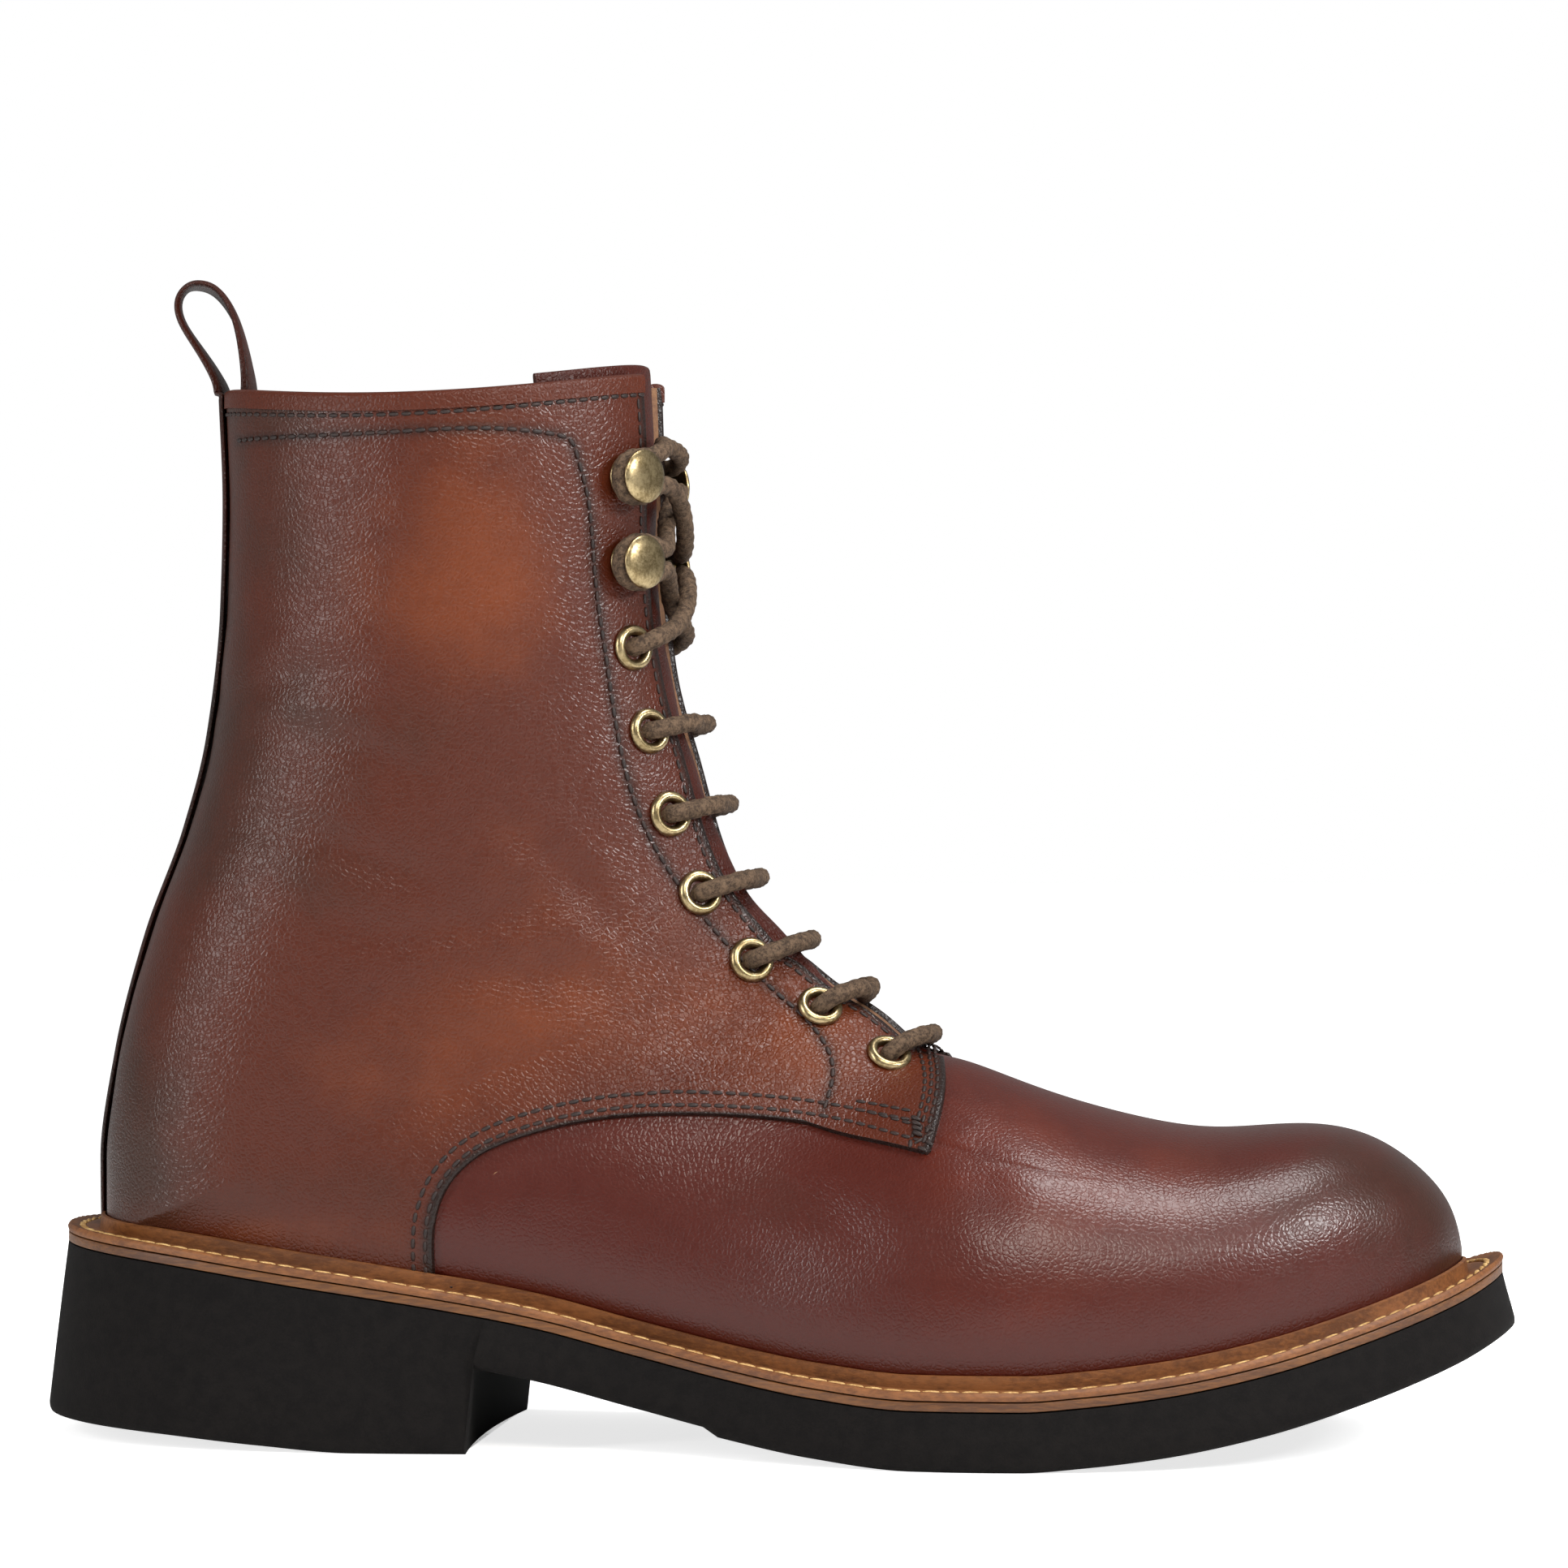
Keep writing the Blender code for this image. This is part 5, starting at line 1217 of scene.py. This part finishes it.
def upper_band(height, side):
    """Plan of the upper's outer face at a height above the welt's base, pushed out by the step."""
    first = float(np.interp(-height / SHAFT_BACK, -seam_height(RING_ROWS), RING_ROWS))
    fine = np.linspace(0, 1, 81)
    points = []
    heel_rows = first + np.linspace(0, 1, 61) ** 2
    for row in np.concatenate([heel_rows, np.arange(first + 1.05, TOE_ROW, 0.05), [TOE_ROW]]):
        angles = pi / 2 + fine * float(foot_angle(row))
        line = surface(row, angles, side)
        above = line[:, 2] - welt_base(line[:, 0])
        points.append(surface(row, float(np.interp(-height, -above, angles)), side))
    points = np.array(points)
    turn = np.linspace(0, pi, 361)
    x = points[0, 0] + (points[-1, 0] - points[0, 0]) * (1 - np.cos(turn)) / 2
    y = np.interp(x, points[:, 0], points[:, 1])
    reach = np.interp(x, STEP_DOWN, [QUARTER_STEP + GAP / 2, GAP / 2])
    return push_out(x, y, turn, side, reach)


def make_welt():
    """Welt carried round the upper: flange with a groove for its stitches, and a lip that rises
    to the leather. The stitches lie in the groove as fat twisted grains."""
    heights = (0, WELT_LIP / 2, WELT_LIP)
    across = np.linspace(0, 1, 21)
    loops, seat_path = [], []
    turns = np.linspace(0, pi, 300)
    for side, order in ((-1, turns), (1, turns[-2:0:-1])):
        edge = WELT_EDGE[0 if side < 0 else 1]
        share = (1 - np.cos(order)) / 2
        x = edge[0, 0] + share * (edge[-1, 0] - edge[0, 0])
        outer = np.stack([x, side_y(edge, x) + SIDE_SHIFT], axis=1)
        inner = []
        for band in (upper_band(height, side) for height in heights):
            band_x = band[0, 0] + share * (band[-1, 0] - band[0, 0])
            inner.append(np.stack([band_x, side_y(band, band_x)], axis=1))
        away = outer - inner[0]
        away /= np.linalg.norm(away, axis=1, keepdims=True)
        base, outer_base = welt_base(inner[0][:, 0]), welt_base(x)
        foot = inner[1] + away * LIP_THICKNESS
        top = inner[2] + away * LIP_THICKNESS * 0.7
        # flange from the rounded outer edge to the lip's foot
        flange = outer[:, None] + (foot - outer)[:, None] * across[None, :, None]
        level = outer_base[:, None] + (base - outer_base)[:, None] * across[None] + WELT_THICKNESS
        groove = -0.0005 * np.exp(-((across - STITCH_PLACE) / 0.11) ** 2)
        wheel = 0.00012 * np.sin(np.arange(len(order))[:, None] * 1.9)
        wheel = wheel * np.exp(-((across - 0.12) / 0.1) ** 2)
        level = level + groove + wheel
        level[:, 0] -= 0.0004
        flange_points = np.concatenate([flange, level[..., None]], axis=2)

        def at_height(plan, height):
            return np.concatenate([plan, height[:, None]], axis=1)[:, None]

        loops.append(np.concatenate([
            at_height(outer, outer_base), at_height(outer + away * 0.0002, outer_base + WELT_THICKNESS / 2),
            flange_points, at_height(foot * 0.4 + top * 0.6, base + WELT_LIP * 0.72),
            at_height(top, base + WELT_LIP * 0.97), at_height(inner[2] + away * 0.0002, base + WELT_LIP),
            at_height(inner[1], base + WELT_LIP / 2), at_height(inner[0], base)], axis=1))
        seat = int(round(STITCH_PLACE * 20))
        seat_path.append(flange_points[:, seat] + np.array([0, 0, 0.0002]))
    loops = np.concatenate(loops)
    rows, columns = loops.shape[:2]
    add_piece("welt_strip", loops, grid_quads(rows, columns, wrap_rows=True, wrap_columns=True),
              MATERIALS["welt"], ["welt"])
    path = np.concatenate(seat_path + [seat_path[0][:1]])
    up = np.broadcast_to(np.array([0.0, 0.0, 1.0]), path.shape)
    points, quads = stitch_row(path, up, WELT_PITCH, WELT_STITCH, 0.22)
    add_piece("welt_thread", points, quads, MATERIALS["welt_thread"], sharp=180)


# Fastenings

def turned(name, profile, material, replaced, spot, normal, throat, closed):
    """Turned brass piece: its profile of radius and height goes round the normal of the facing
    in even steps."""
    profile = np.array(profile)
    angles = 2 * pi * np.arange(TURNED_SIDES) / TURNED_SIDES
    across = np.cross(normal, throat)
    across /= np.linalg.norm(across)
    ahead = np.cross(across, normal)
    radius, height = profile[:, 0], profile[:, 1]
    ring = np.cos(angles)[None, :, None] * ahead + np.sin(angles)[None, :, None] * across
    points = spot + radius[:, None, None] * ring + height[:, None, None] * normal
    quads = grid_quads(len(profile), TURNED_SIDES, wrap_rows=closed, wrap_columns=True)
    return add_piece(name, points, quads, material, replaced, sharp=60)


def arc(centre_radius, centre_height, reach, rise, first, last, count):
    """Profile points on an ellipse's arc, angles in degrees from the outward radius."""
    return [(centre_radius + reach * cos(radians(a)), centre_height + rise * sin(radians(a)))
            for a in np.linspace(first, last, count)]


def make_eyelets():
    """Each eyelet is a rolled ring on a barrel, its section a flattened tube."""
    bore, outer = EYELET_BORE / 2, EYELET_DIAMETER / 2
    middle, reach = (bore + outer) / 2, (outer - bore) / 2
    seat = 0.0002
    profile = [(bore, -WALL - QUARTER_STEP), (BARREL_RADIUS, -WALL - QUARTER_STEP), (BARREL_RADIUS, seat)]
    profile += arc(middle, seat + 0.0001, reach, RING_THICKNESS * 1.25, 0, 180, 12)
    for word, side in SIDES:
        for number in range(EYELETS):
            distance = fastening_distance(HOOKS + EYELETS - 1 - number)
            place = facing_spot(distance, EYELET_INSET, side)
            name = f"{word}_{number + 1}"
            turned(f"ring_{name}", profile, MATERIALS["brass"], [f"eyelet_{name}"], *place, True)


def make_hooks():
    """Speed hooks: a flanged base, a stem and a round domed cap, as one turned profile."""
    base, stem, cap = HOOK_BASE / 2, HOOK_STEM / 2, HOOK_CAP / 2
    floor = SEAT_GAP + RING_THICKNESS / 2
    under = floor + LACE_DIAMETER + 2 * GAP
    profile = [(0.00005, 0.0001), (base * 0.5, 0.0001)]
    profile += arc(base * 0.86, 0.0006, base * 0.14, 0.0005, -90, 90, 7)
    profile += [(base * 0.7, floor * 0.8), (stem * 1.2, floor), (stem, floor + 0.0005),
                (stem, under - 0.0003), (stem * 1.4, under), (cap * 0.9, under)]
    profile += arc(cap * 0.93, under + 0.00045, cap * 0.07, 0.00045, -60, 60, 6)
    profile += [(cap * 0.8, under + RING_THICKNESS * 1.18), (cap * 0.6, under + RING_THICKNESS * 1.42),
                (cap * 0.35, under + RING_THICKNESS * 1.56), (cap * 0.12, under + RING_THICKNESS * 1.6),
                (0.00005, under + RING_THICKNESS * 1.6)]
    for word, side in SIDES:
        for number in range(HOOKS):
            distance = fastening_distance(HOOKS - 1 - number)
            place = facing_spot(distance, EYELET_INSET, side)
            name = f"hook_{word}_{number + 1}"
            turned(f"speed_{name}", profile, MATERIALS["brass"], [name], *place, False)


# Lace

def braid_tube(path):
    """Points, quads and middle line of a braided round cord along a path.

    Its radius swells where two sets of strands, wound in opposite turns, lie over each other.
    """
    run = run_of(path)
    count = max(int(run[-1] / LACE_STEP), 8)
    path = even_points(path, count)
    along, across, up = frames_along(path, np.array([0.13, 0.31, 0.94]))
    turn = 2 * pi * np.arange(LACE_SIDES) / LACE_SIDES
    s = np.linspace(0, run[-1], count)[:, None] / BRAID_PITCH * 2 * pi
    strands = np.abs(np.sin(3 * turn[None] + s / 2)) * np.abs(np.sin(3 * turn[None] - s / 2))
    radius = LACE_DIAMETER / 2 * (0.88 + 0.16 * np.sqrt(strands))
    ring = np.cos(turn)[None, :, None] * across[:, None] + np.sin(turn)[None, :, None] * up[:, None]
    points = path[:, None] + radius[..., None] * ring
    first, last = (path[k, None, None].repeat(LACE_SIDES, axis=1) for k in (0, -1))
    caps = np.concatenate([first, points, last])
    quads = grid_quads(count + 2, LACE_SIDES, wrap_columns=True)
    return caps.reshape(-1, 3), quads, path


def spline_path(points, count=80):
    """Even points on a smooth line through the given ones."""
    points = np.array(points)
    run = run_of(points)
    curves = [natural_curve(run, points[:, axis]) for axis in range(3)]
    even = np.linspace(0, run[-1], count)
    return np.stack([curve(even) for curve in curves], axis=1)


def out_of_eyelet(distance, side, towards):
    """Points by which the lace comes out of an eyelet and bends over its ring to the throat."""
    return [lace_point(distance, EYELET_INSET + 0.0004, side, -WALL - QUARTER_STEP - 0.002),
            lace_point(distance, EYELET_INSET + 0.0002, side, -0.0006),
            lace_point(distance + towards * 0.3, EYELET_INSET - 0.0016, side, 0.0022),
            lace_point(distance + towards * 0.7, EYELET_INSET * 0.45, side, 0.0032)]


def hook_turn(distance, side):
    """Points of the lace's turn round a hook's stem, from below the stem to above it."""
    reach = HOOK_STEM / 2 + LACE_DIAMETER / 2 + 0.0001
    turn = ((1.1, EYELET_INSET * 0.7), (0.8, EYELET_INSET + reach * 0.7), (0.0, EYELET_INSET + reach),
            (-0.8, EYELET_INSET + reach * 0.7), (-1.1, EYELET_INSET * 0.7))
    return [lace_point(distance + reach * down, inset, side, ON_HOOK) for down, inset in turn]


def make_lace():
    """Lace bars, crossings and hook turns as joined braided tubes, then its two tucked ends."""
    edge_height = LACE_LIFT + 2 * GAP
    parts, bar_nodes = [], []
    for number in range(EYELETS - 1):
        distance = fastening_distance(HOOKS + EYELETS - 1 - number)
        halves = [out_of_eyelet(distance, side, 0) + [lace_point(distance, 0, side, edge_height + 0.0006)]
                  for _, side in SIDES]
        route = halves[0] + [tongue_rest(distance, 0, 1) + np.array([0, 0, 0.0004])] + halves[1][::-1]
        parts.append(braid_tube(spline_path(route))[:2])
        bar_nodes.append(f"lace_bar_{number + 1}")
    top_eyelet, low_hook, high_hook = (fastening_distance(number) for number in (HOOKS, 1, 0))
    first_middle, second_middle = (top_eyelet + low_hook) / 2, (low_hook + high_hook) / 2
    lift = tongue_rest(first_middle, 0, 1) - surface(facing_place(first_middle, 0, 1)[0], 0, 1)
    lift = lift / np.linalg.norm(lift)
    end_paths = {}
    for word, side in SIDES:
        over = LACE_DIAMETER * (0.9 if side < 0 else 0.0)
        cross_first = tongue_rest(first_middle, 0, 1) + lift * over
        cross_second = tongue_rest(second_middle, 0, 1) + lift * over

        def at_edge(near, far, across):
            return lace_point(near * 0.75 + far * 0.25, 0, across, edge_height)

        route = out_of_eyelet(top_eyelet, side, -0.002)
        route += [at_edge(top_eyelet, first_middle, side), cross_first,
                  at_edge(low_hook, first_middle, -side)]
        route += hook_turn(low_hook, -side)
        route += [at_edge(low_hook, second_middle, -side), cross_second,
                  at_edge(high_hook, second_middle, side)]
        route += hook_turn(high_hook, side)[:1]
        parts.append(braid_tube(spline_path(route, 300))[:2])
        distance = FIRST_HOOK - HOOK_STEM / 2 - LACE_LIFT
        end_paths[word] = hook_turn(high_hook, side)[:4] + [
            lace_point(distance, EYELET_INSET / 2, side, ON_HOOK),
            lace_point(distance * 0.95, 0, side, LACE_LIFT + 3 * GAP),
            tongue_rest(distance * 0.85, END_SPREAD, side)]
    points, quads = join_rows(parts)
    crossings = [f"lace_cross_{number + 1}" for number in range(HOOKS)]
    add_piece("lace_run", points, quads, MATERIALS["lace"], bar_nodes + crossings, sharp=180)
    for word, route in end_paths.items():
        points, quads, path = braid_tube(spline_path(route))
        end = add_piece(f"lace_tail_{word}", points, quads, MATERIALS["lace"],
                        [f"lace_end_{word}"], sharp=180)
        float(run_of(path)[-1])


# Materials

def linear(hex_code):
    """Linear colour of an sRGB hex code."""
    parts = [int(hex_code[i:i + 2], 16) / 255 for i in (0, 2, 4)]
    return tuple(p / 12.92 if p <= 0.04045 else ((p + 0.055) / 1.055) ** 2.4 for p in parts) + (1.0,)


def node(tree, kind, links=None, **settings):
    """Adds a node. Settings go on its sockets, with _ for a space, or on itself, and links give
    its inputs a source or a number."""
    made = tree.nodes.new(kind)
    for key, value in settings.items():
        socket = key.replace("_", " ")
        if socket in made.inputs:
            made.inputs[socket].default_value = value
        else:
            setattr(made, key, value)
    for key, source in (links or {}).items():
        if isinstance(source, bpy.types.NodeSocket):
            tree.links.new(source, made.inputs[key])
        else:
            made.inputs[key].default_value = source
    return made


def mix_colour(tree, share, first, second, blend="MIX"):
    """Colour mixed from two, each a colour or another node's output."""
    made = node(tree, "ShaderNodeMix", data_type="RGBA", blend_type=blend)
    for socket, value in ((made.inputs[0], share), (made.inputs[6], first), (made.inputs[7], second)):
        if isinstance(value, bpy.types.NodeSocket):
            tree.links.new(value, socket)
        else:
            socket.default_value = value
    return made.outputs[2]


def start_material(name, **settings):
    """New material with its Principled shader's constants set."""
    material = bpy.data.materials.new(name)
    material.use_nodes = True
    tree = material.node_tree
    shader = tree.nodes["Principled BSDF"]
    for key, value in settings.items():
        shader.inputs[key.replace("_", " ").title().replace("Ior", "IOR")].default_value = value
    place = node(tree, "ShaderNodeTexCoord").outputs["Object"]
    return material, tree, shader, place


def per_metre(millimetres):
    """Texture scale for a feature of this size on object coordinates in metres."""
    return 1000.0 / millimetres


def calf_material(name, base, cognac, burnish, edge, gloss, grain):
    """Burnished calf: aniline-dyed leather, waxed and brushed by hand. Colour goes from the base
    to cognac and to dark burnish by the marks and by clouds some 17 mm wide. Fine cells of grain,
    1 mm wide, and finer pores break the gloss."""
    material, tree, shader, place = start_material(
        name, coat_weight=gloss, coat_roughness=0.22, specular_ior_level=0.24)
    mark = {key: node(tree, "ShaderNodeAttribute", attribute_name=key).outputs["Fac"]
            for key in ("burnish", "cognac", "coarse", "edge")}

    def noise(size, detail, roughness=0.5):
        return node(tree, "ShaderNodeTexNoise", {"Vector": place}, Scale=per_metre(size), Detail=detail,
                    Roughness=roughness).outputs["Fac"]

    def blend(name, clouds, weight, threshold):
        """Mark plus clouds about its middle, as a soft share between 0 and 1."""
        sum_ = node(tree, "ShaderNodeMath", {0: clouds, 1: weight, 2: mark[name]}, operation="MULTIPLY_ADD")
        ranged = node(tree, "ShaderNodeMapRange", {"Value": sum_.outputs[0]}, From_Min=threshold,
                      From_Max=threshold + 1.0, interpolation_type="SMOOTHSTEP")
        return ranged.outputs["Result"]

    cloud, fine, pores = noise(17, 4.0, 0.55), noise(3.2, 5.0, 0.65), noise(0.6, 3.0)
    colour = mix_colour(tree, blend("cognac", cloud, 0.8, 0.5), linear(base), linear(cognac))
    colour = mix_colour(tree, blend("burnish", cloud, 1.1, 0.65), colour, linear(burnish))
    # Edge colour: the dark dye of free borders, and painted shade along the band's seam
    colour = mix_colour(tree, blend("edge", fine, 0.4, 0.15), colour, linear(edge))
    speckle = node(tree, "ShaderNodeMapRange", {"Value": fine}, To_Min=0.82, To_Max=1.16)
    toned = node(tree, "ShaderNodeVectorMath", {0: colour, "Scale": speckle.outputs[0]}, operation="SCALE")
    tree.links.new(toned.outputs[0], shader.inputs["Base Color"])
    cells = node(tree, "ShaderNodeTexVoronoi", {"Vector": place}, feature="DISTANCE_TO_EDGE",
                 Scale=per_metre(1.0))
    raised = node(tree, "ShaderNodeMapRange", {"Value": cells.outputs["Distance"]}, From_Max=0.25)
    height = node(tree, "ShaderNodeMath", {0: raised.outputs[0], 1: pores}, operation="ADD")
    strength = node(tree, "ShaderNodeMath", {0: mark["coarse"], 1: grain * 1.3, 2: grain},
                    operation="MULTIPLY_ADD")
    bump = node(tree, "ShaderNodeBump", {"Height": height.outputs[0], "Strength": strength.outputs[0]},
                Distance=0.00018)
    for socket in ("Normal", "Coat Normal"):
        tree.links.new(bump.outputs[0], shader.inputs[socket])
    rough = node(tree, "ShaderNodeMapRange", {"Value": fine}, To_Min=0.34, To_Max=0.5)
    tree.links.new(rough.outputs[0], shader.inputs["Roughness"])
    return material


def plain_material(name, dark, light, cloud_size, fine_size, roughness, depth, stretch=(1, 1, 1),
                   **settings):
    """Material with two mixed tones in clouds, fine relief, and its own roughness."""
    material, tree, shader, place = start_material(name, roughness=roughness, **settings)
    vector = node(tree, "ShaderNodeMapping", {"Vector": place}, Scale=stretch).outputs[0]
    cloud, fine = (
        node(tree, "ShaderNodeTexNoise", {"Vector": vector}, Scale=per_metre(size), Detail=detail,
             Roughness=rough).outputs["Fac"]
        for size, detail, rough in ((cloud_size, 5.0, 0.6), (fine_size, 4.0, 0.7)))
    share = node(tree, "ShaderNodeMath", {0: cloud, 1: fine}, operation="ADD")
    soft = node(tree, "ShaderNodeMapRange", {"Value": share.outputs[0]}, From_Min=0.75, From_Max=1.25,
                interpolation_type="SMOOTHSTEP")
    colour = mix_colour(tree, soft.outputs[0], linear(dark), linear(light))
    tree.links.new(colour, shader.inputs["Base Color"])
    bump = node(tree, "ShaderNodeBump", {"Height": fine}, Strength=0.6, Distance=depth)
    tree.links.new(bump.outputs[0], shader.inputs["Normal"])
    return material


MATERIALS = {
    # Each calf material's last colour is the dark dye of free borders; where the edge mark is full it also
    # paints shade along the band's seam
    # Hand-burnished aniline calf: warm and deep, with soft broad highlights
    "calf": calf_material("burnished calf", "4A1A07", "6C300E", "351C11", "1A0B06", 0.3, 0.35),
    # The same calf brushed deeper and polished harder over the foot
    "vamp": calf_material("burnished vamp calf", "441004", "6A2408", "34190F", "1A0B06", 0.4, 0.2),
    # Skived and folded calf: paler and duller where it is stretched over the rim
    "binding": calf_material("folded calf binding", "4E2010", "6E361A", "30160C", "341A0E", 0.08, 0.4),
    # Backstay and tongue: darker calf from the same hide, hardly polished
    "strap": calf_material("backstay calf", "3C1509", "5A220B", "200F08", "160905", 0.1, 0.45),
    "tongue": calf_material("tongue calf", "401206", "5A1E0A", "1E0C07", "180A06", 0.08, 0.6),
    # Vegetable-tanned lining: dry and matte
    "lining": plain_material("lining leather", "6E4A33", "86603F", 14, 0.9, 0.7, 0.0001),
    "insole": plain_material("insole leather", "8A6647", "A17C57", 20, 1.2, 0.6, 0.0001),
    # Veg-tan welt: cut strip with an open, slightly fibrous surface
    "welt": plain_material("veg tan welt", "5C3416", "835128", 9, 0.8, 0.55, 0.00015, (0.35, 1, 1)),
    # Midsole: cut edge stained and waxed, with fibres drawn out along it
    "edge": plain_material("dressed midsole edge", "4A2A12", "74481F", 6, 0.5, 0.45, 0.0002, (0.12, 0.4, 1)),
    # Foamed rubber: closed cells give a matte, slightly grainy near-black
    "foam": plain_material("foamed rubber", "080606", "110E0D", 3.0, 0.45, 0.9, 0.0002,
                           specular_ior_level=0.2),
    # Polyester thread: waxed, nearly black
    "thread": plain_material("waxed dark thread", "150906", "2A150E", 2.0, 0.4, 0.55, 0.0001),
    # Linen thread: waxed, pale where it stands out of its groove
    "welt_thread": plain_material("natural welt thread", "A0743C", "DDB87A", 3.0, 0.5, 0.6, 0.00015),
    # Waxed cotton lace: braided, dull, paler on top of its strands
    "lace": plain_material("waxed braided cotton", "33271E", "6A5644", 1.3, 0.45, 0.8, 0.0003,
                           specular_ior_level=0.25),
    # Antique brass: plated, tumbled and lacquered, brighter where rubbed
    "brass": plain_material("antique brass", "7C6B4A", "B8A57E", 3.0, 0.6, 0.3, 0.00003, metallic=1.0),
}


# Studio

def add_light(name, place, target, size, power, colour):
    """Soft rectangular lamp at a place, turned to its target."""
    data = bpy.data.lights.new(name, "AREA")
    data.shape = "RECTANGLE"
    data.size, data.size_y = size
    data.energy = power
    data.color = linear(colour)[:3]
    lamp = bpy.data.objects.new(name, data)
    bpy.context.scene.collection.objects.link(lamp)
    lamp.location = place
    lamp.rotation_euler = (Vector(target) - Vector(place)).to_track_quat("-Z", "Y").to_euler()


def stage_glow(tree, seen, always):
    """Strength that is higher where the camera sees the stage itself than where it lights."""
    ray = node(tree, "ShaderNodeLightPath").outputs["Is Camera Ray"]
    return node(tree, "ShaderNodeMath", {0: ray, 1: seen, 2: always}, operation="MULTIPLY_ADD").outputs[0]


def studio_floor():
    """White paper sweep, which reads white under a light that is soft on the boot."""
    material, tree, shader, _ = start_material("white studio floor", base_color=(1, 1, 1, 1), roughness=0.9)
    shader.inputs["Emission Color"].default_value = (1, 1, 1, 1)
    tree.links.new(stage_glow(tree, FLOOR_GLOW, 0.0), shader.inputs["Emission Strength"])
    return material


def make_studio():
    """Camera at the photo's angle, soft lights, white floor and surroundings."""
    data = bpy.data.cameras.new("camera")
    data.sensor_width = SENSOR
    data.lens = FOCAL_PIXELS / PHOTO_PIXELS * SENSOR
    data.clip_end = 20
    camera = bpy.data.objects.new("camera", data)
    bpy.context.scene.collection.objects.link(camera)
    camera.location = (AIM_X + VIEW_DISTANCE * sin(VIEW_YAW), -VIEW_DISTANCE * cos(VIEW_YAW), EYE_HEIGHT)
    camera.rotation_euler = (pi / 2, 0, VIEW_YAW)
    bpy.context.scene.camera = camera
    bpy.context.scene.view_settings.view_transform = "Standard"
    world = bpy.data.worlds.new("studio")
    bpy.context.scene.world = world
    world.use_nodes = True
    world.node_tree.nodes["Background"].inputs["Color"].default_value = (1, 1, 1, 1)
    seen = stage_glow(world.node_tree, 1 - WORLD_LIGHT, WORLD_LIGHT)
    world.node_tree.links.new(seen, world.node_tree.nodes["Background"].inputs["Strength"])
    size = 6.0
    corners = [(-size, -size, 0), (size, -size, 0), (size, size, 0), (-size, size, 0)]
    mesh = bpy.data.meshes.new("floor")
    mesh.from_pydata(corners, [], [(0, 1, 2, 3)])
    mesh.materials.append(studio_floor())
    floor = bpy.data.objects.new("floor", mesh)
    bpy.context.scene.collection.objects.link(floor)
    for lamp in STUDIO_LIGHTS:
        add_light(*lamp)


make_studio()
make_lace()
for side_word, side_sign in SIDES:
    make_quarter(side_word, side_sign)
    make_lining(side_word, side_sign)
make_vamp()
make_binding()
make_seams()
make_back_strap()
make_tongue()
make_outsole()
make_slab("midsole_layer", WELT_EDGE, lambda x: sole_top(x) + GAP, MIDSOLE_THICKNESS, 0.0002, "edge",
          ["midsole"])
make_slab("insole_leather", INSOLE_EDGE, welt_base, INSOLE_THICKNESS, 0.0006, "insole",
          ["insole"])
make_welt()
make_eyelets()
make_hooks()
